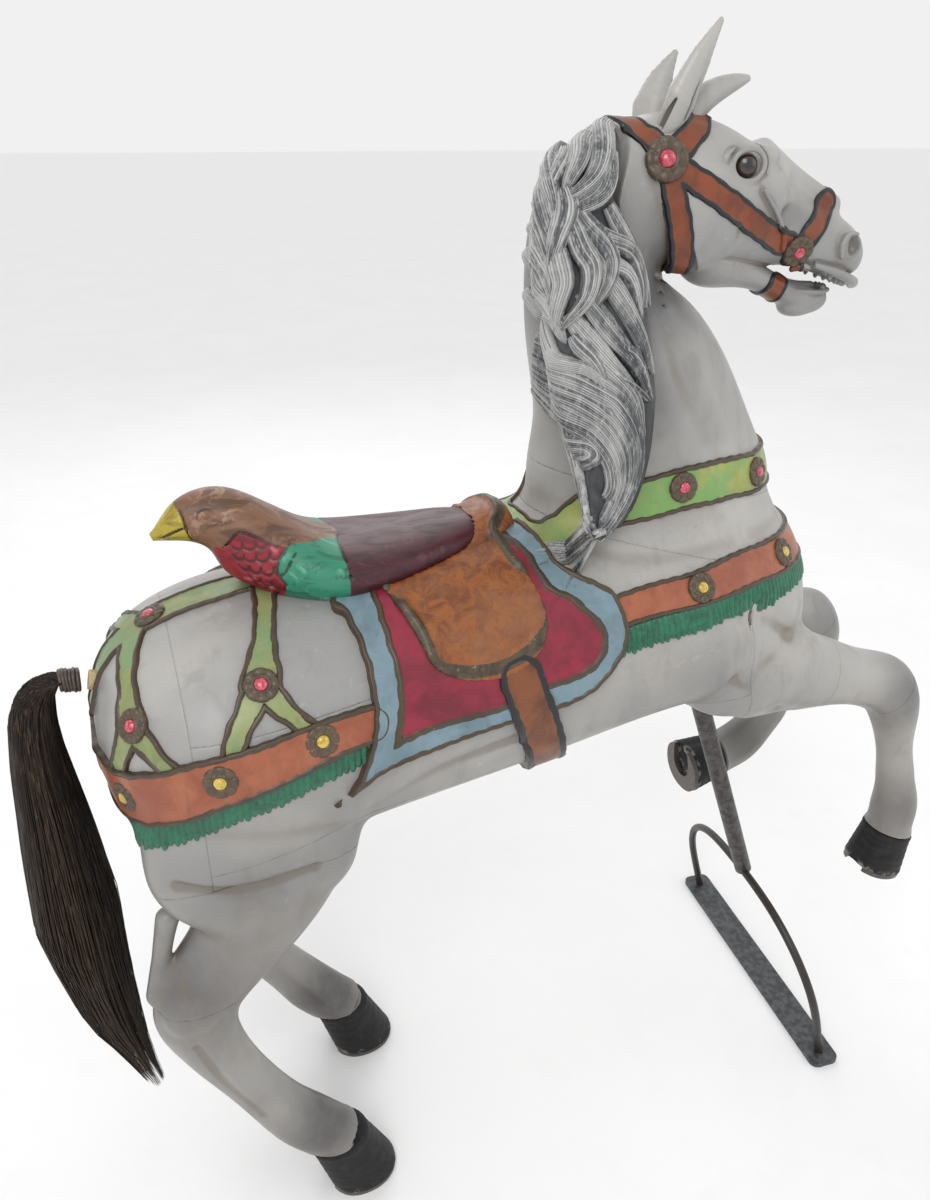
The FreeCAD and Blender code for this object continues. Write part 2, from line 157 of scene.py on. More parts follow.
def resampled(path, count):
    """count points evenly spaced along a path."""
    path = np.asarray(path, float)
    along = np.concatenate([[0], np.cumsum(np.linalg.norm(np.diff(path, axis=0), axis=1))])
    at = np.linspace(0, along[-1], count)
    return np.stack([np.interp(at, along, path[:, k]) for k in range(path.shape[1])], 1)


def length_of(path):
    return float(np.linalg.norm(np.diff(np.asarray(path), axis=0), axis=1).sum())


# Clay

class Clay:
    """A block of signed distances, negative inside, that is added to and carved."""

    def __init__(self, low, high, voxel):
        self.voxel = voxel
        self.low = np.floor(np.array(low) / voxel).astype(int) - 3
        self.size = np.ceil(np.array(high) / voxel).astype(int) + 3 - self.low
        self.field = np.full(self.size, FAR, np.float32)
        self.transform = openvdb.createLinearTransform(voxelSize=voxel)

    def distances(self, names, turn=None, reach=0.03):
        """The signed distance to CAD nodes, right up to reach from their skin."""
        points, triangles = node_mesh(names, turn)
        grid = openvdb.FloatGrid.createLevelSetFromPolygons(
            points, triangles=triangles, transform=self.transform,
            halfWidth=reach / self.voxel)
        array = np.empty(self.size, np.float32)
        grid.copyToArray(array, ijk=tuple(int(i) for i in self.low))
        return array

    def window(self, low, high):
        """The part of the block between two corners, and its coordinates."""
        a = np.clip(np.floor(np.array(low) / self.voxel).astype(int) - self.low, 0, self.size)
        b = np.clip(np.ceil(np.array(high) / self.voxel).astype(int) + 1 - self.low, 0, self.size)
        part = tuple(slice(int(i), int(j)) for i, j in zip(a, b))
        axes = [(np.arange(i, j) + k) * self.voxel for i, j, k in zip(a, b, self.low)]
        grid = np.meshgrid(*axes, indexing="ij", sparse=True)
        return part, [g.astype(np.float32) for g in grid]

    def merge(self, part, distance, blend, carve=False):
        """Joins a shape to the clay, or cuts it out, with a soft edge."""
        here = self.field[part]
        if carve:
            here = -here
        h = np.clip(0.5 + 0.5 * (distance - here) / blend, 0, 1)
        joined = distance * (1 - h) + here * h - blend * h * (1 - h)
        self.field[part] = -joined if carve else joined

    def blob(self, centre, radii, blend=6 * MM, carve=False, tilt=0.0, yaw=0.0):
        """An ellipsoid; tilt turns it about Y and yaw about Z, in degrees."""
        centre = np.array(centre, float) * MM
        radii = np.array(radii, float) * MM
        reach = radii.max() + 2 * blend + 2 * self.voxel
        part, (x, y, z) = self.window(centre - reach, centre + reach)
        x, y, z = x - centre[0], y - centre[1], z - centre[2]
        c, s = math.cos(math.radians(tilt)), math.sin(math.radians(tilt))
        cy, sy = math.cos(math.radians(yaw)), math.sin(math.radians(yaw))
        x, y = x * cy + y * sy, y * cy - x * sy
        x, z = x * c - z * s, z * c + x * s
        near = np.sqrt((x / radii[0])**2 + (y / radii[1])**2 + (z / radii[2])**2) + 1e-6
        steep = np.sqrt((x / radii[0]**2)**2 + (y / radii[1]**2)**2 + (z / radii[2]**2)**2) + 1e-6
        self.merge(part, near * (near - 1) / steep, blend, carve)

    def stroke(self, points, radii, blend=5 * MM, carve=False, flat=None):
        """A tube along a path; flat=(normal, share) squeezes it along normal."""
        path = smooth_path(np.array(points, float) * MM, 6 * MM)
        radii = np.interp(np.linspace(0, 1, len(path)), np.linspace(0, 1, len(radii)),
                          np.array(radii, float) * MM)
        normal = np.zeros(3)
        squeeze = 0.0
        if flat is not None:
            normal = np.array(flat[0], float) / np.linalg.norm(flat[0])
            squeeze = 1 / flat[1]**2 - 1
        margin = radii.max() + 2 * blend + 2 * self.voxel
        part, (x, y, z) = self.window(path.min(0) - margin, path.max(0) + margin)
        shape = self.field[part].shape
        best = np.full(shape, FAR, np.float32)
        low = [float(v.ravel()[0]) if v.size else 0.0 for v in (x, y, z)]
        for a, b, ra, rb in zip(path[:-1], path[1:], radii[:-1], radii[1:]):
            lo = np.minimum(a, b) - margin
            hi = np.maximum(a, b) + margin
            i0 = [max(0, int((lo[k] - low[k]) / self.voxel)) for k in range(3)]
            i1 = [min(shape[k], int((hi[k] - low[k]) / self.voxel) + 2) for k in range(3)]
            if any(p >= q for p, q in zip(i0, i1)):
                continue
            px = x[i0[0]:i1[0]] - a[0]
            py = y[:, i0[1]:i1[1]] - a[1]
            pz = z[:, :, i0[2]:i1[2]] - a[2]
            d = b - a
            dn = float(d @ normal)
            pn = px * normal[0] + py * normal[1] + pz * normal[2]
            along = px * d[0] + py * d[1] + pz * d[2] + squeeze * pn * dn
            t = np.clip(along / (d @ d + squeeze * dn * dn), 0, 1)
            off = pn - t * dn
            gap = np.sqrt((px - t * d[0])**2 + (py - t * d[1])**2 + (pz - t * d[2])**2
                          + squeeze * off * off) - (ra + (rb - ra) * t)
            sub = best[i0[0]:i1[0], i0[1]:i1[1], i0[2]:i1[2]]
            np.minimum(sub, gap, out=sub)
        self.merge(part, best, blend, carve)

    def both(self, shape, points, *rest, **options):
        """The same blob or stroke on the right and on the left."""
        rows = np.atleast_2d(np.array(points, float))
        for side in (RIGHT, LEFT):
            sided = rows * (1, side, 1)
            if shape == self.blob and "yaw" in options:
                options = dict(options, yaw=abs(options["yaw"]) * side)
            shape(sided[0] if len(rows) == 1 else sided, *rest, **options)

    def mesh(self):
        """The clay's skin as points and faces."""
        band = 3 * self.voxel
        grid = openvdb.FloatGrid(band)
        grid.copyFromArray(np.clip(self.field, -band, band),
                           ijk=tuple(int(i) for i in self.low))
        grid.transform = self.transform
        points, triangles, quads = grid.convertToPolygons(0.0, 0.0)
        faces = [tuple(f) for f in quads.tolist()] + [tuple(f) for f in triangles.tolist()]
        return points.astype(float), faces

    def hollowness(self, points, reach):
        """How hollow the skin is at points: 0 on ridges, 1 in grooves."""
        field = np.clip(self.field, -reach, reach)
        for axis in range(3):
            total = np.cumsum(field, axis=axis, dtype=np.float32)
            width = max(1, int(reach / self.voxel))
            upper = np.take(total, np.clip(np.arange(self.size[axis]) + width, 0,
                                           self.size[axis] - 1), axis)
            lower = np.take(total, np.clip(np.arange(self.size[axis]) - width - 1, 0,
                                           self.size[axis] - 1), axis)
            field = (upper - lower) / (2 * width + 1)
        where = points / self.voxel - self.low
        base = np.clip(np.floor(where).astype(int), 0, self.size - 2)
        share = np.clip(where - base, 0, 1)
        mean = np.zeros(len(points))
        for corner in np.ndindex(2, 2, 2):
            weight = np.prod([share[:, k] if corner[k] else 1 - share[:, k] for k in range(3)],
                             axis=0)
            at = base + corner
            mean += weight * field[at[:, 0], at[:, 1], at[:, 2]]
        return np.clip(0.5 - mean / reach * 4, 0, 1)


def cut_apart(obj, point, normal, far_name, near=None, seam=0.35 * MM):
    """Cuts a closed mesh at a plane and returns the piece in front of it.

    near=(low, high) keeps the cut to the faces inside a box, so that a plane
    through one leg leaves the others alone."""
    normal = Vector(normal).normalized()
    bm = bmesh.new()
    bm.from_mesh(obj.data)
    if near is None:
        faces = bm.faces[:]
    else:
        low, high = near
        faces = [f for f in bm.faces if all(low[k] < f.verts[0].co[k] < high[k] for k in range(3))]
    edges = list({e for f in faces for e in f.edges})
    verts = list({v for f in faces for v in f.verts})
    found = bmesh.ops.bisect_plane(bm, geom=verts + edges + faces, dist=1e-7,
                                   plane_co=Vector(point), plane_no=normal)
    rim = [e for e in found["geom_cut"] if isinstance(e, bmesh.types.BMEdge)]
    bm.normal_update()
    for v in {v for e in rim for v in e.verts}:
        inward = v.normal - normal * v.normal.dot(normal)
        if inward.length > 1e-6:
            v.co -= inward.normalized() * seam
    bmesh.ops.split_edges(bm, edges=rim)
    start = None
    for e in bm.edges:
        if len(e.link_faces) == 1:
            f = e.link_faces[0]
            if normal.dot(f.calc_center_median() - Vector(point)) > 0:
                start = f
                break
    reached = {start}
    waiting = [start]
    while waiting:
        for e in waiting.pop().edges:
            for f in e.link_faces:
                if f not in reached:
                    reached.add(f)
                    waiting.append(f)
    for f in bm.faces:
        f.tag = f in reached
    far = bm.copy()
    bmesh.ops.delete(bm, geom=[f for f in bm.faces if f.tag], context="FACES")
    bmesh.ops.delete(far, geom=[f for f in far.faces if not f.tag], context="FACES")
    made = []
    for part, name in ((bm, obj.name), (far, far_name)):
        bmesh.ops.holes_fill(part, edges=[e for e in part.edges if len(e.link_faces) == 1], sides=0)
        mesh = bpy.data.meshes.new(name)
        part.to_mesh(mesh)
        part.free()
        mesh.shade_smooth()
        made.append(mesh)
    old = obj.data
    obj.data = made[0]
    bpy.data.meshes.remove(old)
    other = bpy.data.objects.new(far_name, made[1])
    bpy.context.scene.collection.objects.link(other)
    return other


# Carvings that stand off the wood

def cut_off(obj, point, normal, near=None):
    """Cuts away what lies past a plane."""
    bpy.data.objects.remove(cut_apart(obj, point, normal, "spare", near))


class Skin:
    """The wood's surface, for laying carvings on."""

    def __init__(self, *objects):
        points, faces, count = [], [], 0
        for obj in objects:
            co = vertices(obj)
            points += [tuple(p) for p in co]
            faces += [[i + count for i in f.vertices] for f in obj.data.polygons]
            count += len(co)
        self.tree = BVHTree.FromPolygons(points, faces)

    def snap(self, points):
        """The nearest places on the skin, and the way out from it there."""
        points = np.asarray(points, float)
        rows = points.reshape(-1, 3)
        found = [self.tree.find_nearest(p) for p in rows]
        at = np.array([f[0] for f in found]).reshape(points.shape)
        out = np.array([f[1] for f in found]).reshape(points.shape)
        return at, out


def blurred(grid, times=2):
    """Evens out a grid of directions."""
    padded = np.pad(grid, ((1, 1), (1, 1), (0, 0)), "edge")
    for _ in range(times):
        core = (padded[:-2, 1:-1] + padded[2:, 1:-1] + padded[1:-1, :-2] + padded[1:-1, 2:]
                + padded[1:-1, 1:-1]) / 5
        padded = np.pad(core, ((1, 1), (1, 1), (0, 0)), "edge")
    core = padded[1:-1, 1:-1]
    return core / np.linalg.norm(core, axis=2, keepdims=True)


class Carving:
    """Closed raised shapes that are joined into one piece."""

    def __init__(self):
        self.points, self.faces, self.slots, self.run, self.count = [], [], [], [], 0

    def add(self, points, faces, slots, run=None):
        points = np.asarray(points, float).reshape(-1, 3)
        self.points.append(points)
        self.faces += [tuple(i + self.count for i in f) for f in faces]
        self.slots += list(slots) if hasattr(slots, "__len__") else [slots] * len(faces)
        self.run.append(np.zeros(len(points)) if run is None else np.asarray(run, float).ravel())
        self.count += len(points)

    def sheet(self, at, out, height, slots, sink=2.5 * MM, run=None):
        """A patch at[i, j] of the skin, raised by height[i, j]. slots[j] is each column's paint."""
        m, n = at.shape[:2]
        out = blurred(out)
        top = at + out * np.broadcast_to(height, (m, n))[:, :, None]
        bottom = at - out * sink
        faces, paints = [], []
        flip = np.dot(np.cross(at[1, 0] - at[0, 0], at[0, -1] - at[0, 0]), out[0, 0]) < 0
        last = m * n
        for i in range(m - 1):
            for j in range(n - 1):
                a, b, c, d = i * n + j, (i + 1) * n + j, (i + 1) * n + j + 1, i * n + j + 1
                faces.append((a, b, c, d))
                faces.append((last + d, last + c, last + b, last + a))
                paints += [slots[j], slots[j]]
        for i in range(m - 1):
            a, b = i * n, (i + 1) * n
            faces.append((b, a, last + a, last + b))
            paints.append(slots[0])
            a, b = i * n + n - 1, (i + 1) * n + n - 1
            faces.append((a, b, last + b, last + a))
            paints.append(slots[-1])
        for j in range(n - 1):
            a, b = j, j + 1
            faces.append((a, b, last + b, last + a))
            paints.append(slots[j])
            a, b = (m - 1) * n + j, (m - 1) * n + j + 1
            faces.append((b, a, last + a, last + b))
            paints.append(slots[j])
        if flip:
            faces = [f[::-1] for f in faces]
        both = None if run is None else np.concatenate([np.ravel(run)] * 2)
        self.add(np.concatenate([top.reshape(-1, 3), bottom.reshape(-1, 3)]), faces, paints, both)

    def build(self, name, materials, body="horse"):
        obj = new_object(name, np.concatenate(self.points), self.faces)
        for m in materials:
            obj.data.materials.append(m)
        if len(obj.data.polygons) == len(self.slots):
            obj.data.polygons.foreach_set("material_index", np.array(self.slots, np.int32))
        add_number(obj, "run", np.concatenate(self.run))
        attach(obj, body)
        return obj


EDGE = 5.5 * MM                # the rolled brown edge of each carved strap


def fringe(carving, skin, edge_a, edge_b, paint_slot, strand=6.5 * MM, thick=1.2 * MM):
    """A carved fringe: strands side by side that hang from edge_a to edge_b."""
    a, b = smooth_path(edge_a), smooth_path(edge_b)
    length = length_of(a)
    rows = int(length / strand) * 8 + 1
    a, b = resampled(a, rows), resampled(b, rows)
    s = np.linspace(0, length, rows)
    wave = np.abs(np.sin(np.pi * s / strand))
    own = np.floor(s / strand)
    reach = 0.86 + 0.14 * wave**0.6 + 0.05 * np.sin(own * 2.4)
    u = np.linspace(0, 1, 8)[None, :] * reach[:, None]
    grid = a[:, None] * (1 - u[:, :, None]) + b[:, None] * u[:, :, None]
    at, out = skin.snap(grid)
    height = thick + 1.9 * MM * wave[:, None]**0.7 * np.array([0.5, 1, 1, 1, 1, 1, 0.9, 0.5])[None]
    run = own[:, None] + wave[:, None] * 0.5 + np.zeros((rows, 8))
    carving.sheet(at, out, height, [paint_slot] * 8, run=run)


def frame_at(out):
    """Two directions square to out and to each other."""
    out = np.asarray(out, float) / np.linalg.norm(out)
    first = np.cross((0, 0, 1), out)
    if np.linalg.norm(first) < 0.1:
        first = np.cross((1, 0, 0), out)
    first /= np.linalg.norm(first)
    return first, np.cross(out, first), out


def rosette(carving, centre, out, radius, petals=8, slot=0):
    """A carved flower round a jewel: a rim, petals with notches, and a seat."""
    first, second, out = frame_at(out)
    around = 64
    rings = [(1.0, -3.0), (1.0, 1.2), (0.97, 2.6), (0.90, 3.6), (0.80, 4.0), (0.68, 3.8),
             (0.56, 3.4), (0.50, 4.4), (0.45, 4.6), (0.40, 3.2), (0.0, 3.0)]
    angle = np.linspace(0, 2 * math.pi, around, endpoint=False)
    notch = np.abs(np.cos(angle * petals / 2)) ** 0.35
    points, run = [], []
    for share, lift in rings:
        soft = 0.5 < share < 0.99
        r = radius * share * (1 - (0.05 * (1 - notch) if share > 0.85 else 0))
        height = lift * MM * ((0.45 + 0.55 * notch) if soft else 1.0)
        points.append(centre + np.outer(np.cos(angle) * r,
                                        first) + np.outer(np.sin(angle) * r, second)
                      + np.outer(np.broadcast_to(height, around), out))
        run.append(notch if soft else np.ones(around))
    faces = []
    for i in range(len(rings) - 1):
        for j in range(around):
            k = (j + 1) % around
            faces.append((i * around + j, i * around + k, (i + 1) * around + k,
                          (i + 1) * around + j))
    faces.append(tuple(range(around))[::-1])
    carving.add(np.concatenate(points), faces, slot, np.concatenate(run))


def stone(carving, centre, out, radius, lift=2.5 * MM, slot=0):
    """A domed glass jewel with softly cut facets."""
    first, second, out = frame_at(out)
    around, rings = 20, 7
    points, faces = [], []
    for i in range(rings):
        tilt = math.pi / 2 * i / (rings - 1)
        r = radius * math.cos(tilt)
        h = lift + radius * 0.62 * math.sin(tilt) - 0.4 * MM * (i == 0)
        for j in range(around):
            a = 2 * math.pi * (j + 0.5 * (i % 2)) / around
            points.append(centre + first * r * math.cos(a) + second * r * math.sin(a) + out * h)
    for i in range(rings - 1):
        for j in range(around):
            k = (j + 1) % around
            faces.append((i * around + j, i * around + k, (i + 1) * around + k,
                          (i + 1) * around + j))
    faces.append(tuple(range(around))[::-1])
    carving.add(points, faces, slot)


# The horse's body

LEG_NODES = [f"{side}_{end}_{part}" for side in ("right", "left")
             for end in ("hind", "fore") for part in ("upper", "lower")]
TRUNK_NODES = ["rump_block", "chest_block", "back_board", "belly_board",
               "right_side_board", "left_side_board"]
NECK_NODES = ["neck_base_block", "neck_front_block", "neck_rear_block"]
HIP_Y = {RIGHT: -88, LEFT: 112}
HOCK_SHIFT = {RIGHT: 0, LEFT: 43}


def body_clay():
    names = TRUNK_NODES + NECK_NODES + ["head_block"] + LEG_NODES
    points, _ = node_mesh(names)
    clay = Clay(points.min(0) - 0.01, points.max(0) + 0.01, BODY_VOXEL)
    everything = (slice(None),) * 3
    clay.field = clay.distances(TRUNK_NODES)
    clay.merge(everything, clay.distances(NECK_NODES), 28 * MM)
    clay.merge(everything, clay.distances(["head_block"]), 12 * MM)
    for end in ("right_hind", "left_hind", "right_fore", "left_fore"):
        clay.merge(everything, clay.distances([end + "_upper", end + "_lower"]), 30 * MM)
    carve_muscles(clay)
    return clay


def carve_muscles(clay):
    """Muscles, hollows, tendons and wrinkles, the same on both sides unless said."""
    for side in (RIGHT, LEFT):
        y = HIP_Y[side]
        h = HOCK_SHIFT[side]
        out = math.copysign(1, y)
        # thigh and stifle
        clay.blob((-395, y + out * 22, 610), (78, 36, 92), 30 * MM, tilt=14)
        clay.blob((-318, y + out * 18, 600), (40, 30, 64), 26 * MM, tilt=-24)
        clay.stroke([(-450, y + out * 48, 600), (-388, y + out * 54, 584),
                     (-320, y + out * 50, 584)],
                    [-9, -5, -9], 34 * MM, True)
        # gaskin, Achilles tendon and hock
        clay.stroke([(-468 + 0.5 * h, y, 520), (-484 + h, y, 460), (-494 + h, y, 418)],
                    [12, 9, 9], 12 * MM)
        clay.stroke([(-452 + 0.5 * h, y + out * 30, 500), (-466 + h, y + out * 27, 440)],
                    [-5, -8], 34 * MM, True)
        clay.blob((-462 + h, y + out * 22, 398), (24, 12, 22), 12 * MM)
        clay.blob((-462 + h, y - out * 22, 398), (24, 12, 22), 12 * MM)
        # cannon tendons
        for face in (-1, 1):
            clay.stroke([(-462 + h, y + face * 24, 350), (-440 + h, y + face * 22, 268),
                         (-404 + 0.7 * h, y + face * 22, 196)], [-8, -3.5, -8], 26 * MM, True)
    for side in (RIGHT, LEFT):
        y = 98 * side
        # forearm and elbow
        clay.blob((258, side * 112, 672), (62, 26, 40), 24 * MM, tilt=-12)
        clay.stroke([(170, side * 150, 700), (225, side * 138, 652), (285, side * 116, 628)],
                    [-9, -4, -9], 36 * MM, True)
    # shoulder line, chest and belly
    clay.both(clay.stroke, [(150, 158, 790), (215, 146, 762), (262, 122, 726)], [-9, -4, -9],
              38 * MM, carve=True)
    clay.both(clay.stroke, [(318, 34, 770), (312, 44, 720), (296, 56, 676)], [-8, -3, -8], 34 * MM,
              carve=True)
    clay.stroke([(334, 0, 780), (330, 0, 720), (306, 0, 668)], [-8, -3, -8], 34 * MM, True)
    clay.both(clay.blob, (200, 118, 668), (60, 32, 34), 22 * MM)
    clay.both(clay.stroke, [(-250, 150, 640), (-190, 152, 668), (-100, 150, 690)], [-10, -6, -10],
              40 * MM, carve=True)
    # neck muscles, throat folds
    clay.both(clay.stroke, [(88, 62, 1110), (104, 74, 1040), (150, 92, 960), (190, 96, 900)],
              [-9, -3, -3, -9], 36 * MM, carve=True)
    clay.both(clay.stroke, [(60, 64, 1120), (72, 76, 1050), (84, 90, 980)], [-9, -4, -9], 34 * MM,
              carve=True)
    for i in range(5):
        z = 1118 - 14 * i
        x = 112 + 5 * i
        clay.stroke([(x - 26, -46 - 2 * i, z + 8), (x - 2, -24, z - 2), (x + 4, 0, z - 5),
                     (x - 2, 24, z - 2), (x - 26, 46 + 2 * i, z + 8)], [1, 3, 3, 3, 1], 4 * MM, True)


# The wood pieces

HEAD_SEAM = (Vector((0.060, 0, 1.268)), Vector((142, 0, 82)))
HEAD_SEAM = (Vector((0.060, 0, 1.268)), Vector((142, 0, 82)))
SEAMS = [
    # piece cut from, a point, the way to the new piece, its name, box the cut keeps to
    ("trunk", (-60, 0, 895), (0.264, 0, 1), "neck_base_block", None),
    ("neck_base_block", (20, 0, 928), (0.19, 0, 1), "neck_rear_block", None),
    ("neck_rear_block", (48, 0, 995), (1, 0, 0.32), "neck_front_block", None),
    ("trunk", (-380, -130, 583), (0, -0.316, -0.949), "right_hind_upper",
     ((-600, -300, 300), (-180, 0, 640))),
    ("trunk", (-360, 154, 583), (0, 0.316, -0.949), "left_hind_upper",
     ((-600, 0, 300), (-180, 300, 640))),
    ("right_hind_upper", (-448, 0, 402), (-0.1, 0, -1), "right_hind_lower", None),
    ("left_hind_upper", (-406, 0, 402), (-0.1, 0, -1), "left_hind_lower", None),
    ("trunk", (342, 0, 645), (1, 0, -0.2), "right_fore_upper", ((300, -300, 560), (420, 0, 760))),
    ("trunk", (342, 0, 645), (1, 0, -0.2), "left_fore_upper", ((300, 0, 560), (420, 300, 760))),
    ("right_fore_upper", (468, 0, 588), (0.75, 0, -0.66), "right_fore_lower", None),
    ("left_fore_upper", (510, 0, 588), (0.55, 0, -0.83), "left_fore_lower", None),
    ("trunk", (-420, 0, 700), (-1, 0, 0), "rump_block", None),
    ("trunk", (190, 0, 740), (1, 0, 0.10), "chest_block", None),
    ("trunk", (0, 0, 798), (-0.10, 0, 1), "back_board", None),
    ("trunk", (0, 0, 655), (0.10, 0, -1), "belly_board", None),
    ("trunk", (0, 0, 700), (0, 1, 0), "left_side_board", None),
]


def airbrushed(points):
    """How much grey the painter misted on: at joints, hollows and along the mane."""
    total = np.zeros(len(points))
    for x, y, z, radius, strength in SHADOWS:
        for side in (RIGHT, LEFT) if y else (LEFT,):
            gap = np.linalg.norm(points - np.array((x, y * side, z)) * MM, axis=1)
            total += strength * np.exp(-(gap / (radius * SPREAD * MM))**2)
    for side in (RIGHT, LEFT):
        for x, y, z, radius, strength in LEG_SHADOWS[side]:
            gap = np.linalg.norm(points - np.array((x, y, z)) * MM, axis=1)
            total += 1.5 * strength * np.exp(-(gap / (radius * SPREAD * MM))**2)
    return np.clip(total, 0, 1)


SPREAD = 1.6                    # the mist spreads this much past each place's radius
SHADOWS = [
    # x, y, z, radius, strength, on both sides
    (20, 70, 1160, 55, 0.45), (45, 95, 1080, 50, 0.35), (70, 110, 1000, 45, 0.30),
    (85, 60, 1105, 30, 0.35), (100, 40, 1120, 26, 0.35), (90, 95, 1010, 26, 0.20),
    (150, 155, 700, 40, 0.30), (285, 110, 632, 45, 0.30), (240, 60, 600, 50, 0.25),
    (-330, 120, 585, 34, 0.22), (-250, 120, 610, 50, 0.20), (-395, 150, 585, 30, 0.22),
    (-480, 60, 640, 50, 0.25), (120, 90, 880, 40, 0.10),
]
LEG_SHADOWS = {
    RIGHT: [(-460, -88, 405, 40, 0.55), (-440, -88, 455, 34, 0.30), (-330, -88, 115, 36, 0.75),
            (-350, -88, 150, 30, 0.35), (475, -98, 596, 34, 0.65), (500, -98, 570, 26, 0.35),
            (541, -98, 372, 34, 0.60), (530, -98, 420, 24, 0.25), (-392, -140, 570, 20, 0.15)],
    LEFT: [(-416, 112, 405, 40, 0.60), (-275, 112, 112, 38, 0.85), (-300, 112, 150, 30, 0.35),
           (515, 98, 590, 34, 0.50), (395, 98, 388, 36, 0.55), (430, 98, 412, 28, 0.30)],
}


def wood_pieces(clay, paints):
    """The body's clay as one closed piece for each CAD block, board and leg."""
    points, faces = clay.mesh()
    trunk = new_object("trunk", points, faces)
    add_number(trunk, "shade", airbrushed(points))
    normals = np.empty(len(points) * 3, np.float32)
    trunk.data.vertices.foreach_get("normal", normals)
    # Painted shade: faces that look down and the lower legs get darker paint, as if in shadow.
    under = np.clip(-normals.reshape(-1, 3)[:, 2] + 0.25, 0, 1)
    low = np.clip((0.66 - points[:, 2]) / 0.16, 0, 1)
    add_number(trunk, "grime_and_low_shade", np.clip(0.45 * under + 0.38 * low, 0, 1))
    add_number(trunk, "hollow", clay.hollowness(points, 9 * MM))
    pieces = {"trunk": trunk}
    throat = TURN @ HEAD_SEAM[0]
    forward = TURN.to_3x3() @ HEAD_SEAM[1]
    cut_off(trunk, throat, forward, ((-0.1, -0.2, 1.08), (0.5, 0.2, 1.5)))
    for source, point, normal, name, near in SEAMS:
        box = None if near is None else [[c * MM for c in corner] for corner in near]
        pieces[name] = cut_apart(pieces[source], Vector(point) * MM, normal, name, box)
    for side in (RIGHT, LEFT):
        for end in ("hind", "fore"):
            hoof = HOOVES[side, end]
            name = f"{SIDE_NAMES[side]}_{end}_lower"
            cut_off(pieces[name], hoof.coronet - hoof.down * 1 * MM, hoof.down)
    trunk.name = "right_side_board"
    pieces["right_side_board"] = pieces.pop("trunk")
    for node, piece in pieces.items():
        piece.name = node + "_wood"
        piece.data.materials.append(paints["body"])
        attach(piece, "horse")
        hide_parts(node)


# Hooves

class Hoof:
    """Where a hoof starts, where its sole ends, and how wide it is there."""

    def __init__(self, coronet, sole, down, half_side, half_front, half_back):
        self.coronet = Vector(coronet) * MM
        self.sole = Vector(sole) * MM
        self.down = Vector(down).normalized() if down else (self.sole - self.coronet).normalized()
        self.half = (half_side * MM, half_front * MM, half_back * MM)


HOOVES = {
    (RIGHT, "hind"): Hoof((-317, -88, 88), (-287, -88, 0), (0, 0, -1), 40, 48, 42),
    (LEFT, "hind"): Hoof((-260, 112, 88), (-230, 112, 0), (0, 0, -1), 40, 48, 42),
    (RIGHT, "fore"): Hoof((539, -98, 334), (522, -98, 268), None, 38, 41, 38),
    (LEFT, "fore"): Hoof((366, 98, 379), (304, 98, 372), None, 38, 41, 38),
}
SHOE = 7 * MM


def hoof_piece(hoof, name, paints):
    """A hoof wall with growth rings, a rolled coronet and two heel bulbs."""
    front = hoof.down.cross(Vector((0, 1, 0))).normalized()
    across = Vector((0, 1, 0)) - hoof.down * hoof.down.y
    across.normalize()
    around, rows = 72, 22
    top, bottom = hoof.coronet, hoof.sole - hoof.down * SHOE
    points, run = [], []
    for i in range(rows):
        t = i / (rows - 1)
        grow = 0.85 + 0.17 * t + 0.025 * math.sin(min(1, t * 6) * math.pi) + 0.006 * math.sin(t * 34)
        if i == 0:
            grow = 0.78
        centre = top.lerp(bottom, t)
        for j in range(around):
            a = 2 * math.pi * j / around
            ahead = math.cos(a)
            out = math.sin(a)
            half = hoof.half[1] if ahead > 0 else hoof.half[2]
            cleft = math.exp(-(out / 0.22)**2) * (1 if ahead < 0 else 0)
            reach = grow * (1 - 0.10 * cleft * (1 - 0.3 * t))
            ahead = math.copysign(abs(ahead) ** 0.92, ahead)
            out = math.copysign(abs(out) ** 0.92, out)
            points.append(centre + front * half * ahead * reach + across * hoof.half[0] * out * reach)
            run.append(t)
    faces = []
    for i in range(rows - 1):
        for j in range(around):
            k = (j + 1) % around
            faces.append((i * around + j, (i + 1) * around + j, (i + 1) * around + k,
                          i * around + k))
    faces.append(tuple(range(around)))
    faces.append(tuple((rows - 1) * around + j for j in range(around))[::-1])
    carving = Carving()
    carving.add(points, faces, 0, run)
    piece = carving.build(name, [paints["hoof"]])
    return piece


# Head

def head_clay():
    """The head in its own finer clay, facing straight ahead."""
    points, _ = node_mesh(["head_block"], UNTURN)
    clay = Clay(points.min(0) - 0.012, points.max(0) + 0.012, HEAD_VOXEL)
    clay.field = clay.distances(["head_block"], UNTURN, 0.02)
    clay.merge((slice(None),) * 3, clay.distances(NECK_NODES, UNTURN, 0.02), 12 * MM)
    shape_skull(clay)
    shape_eyes(clay)
    shape_mouth(clay)
    return clay


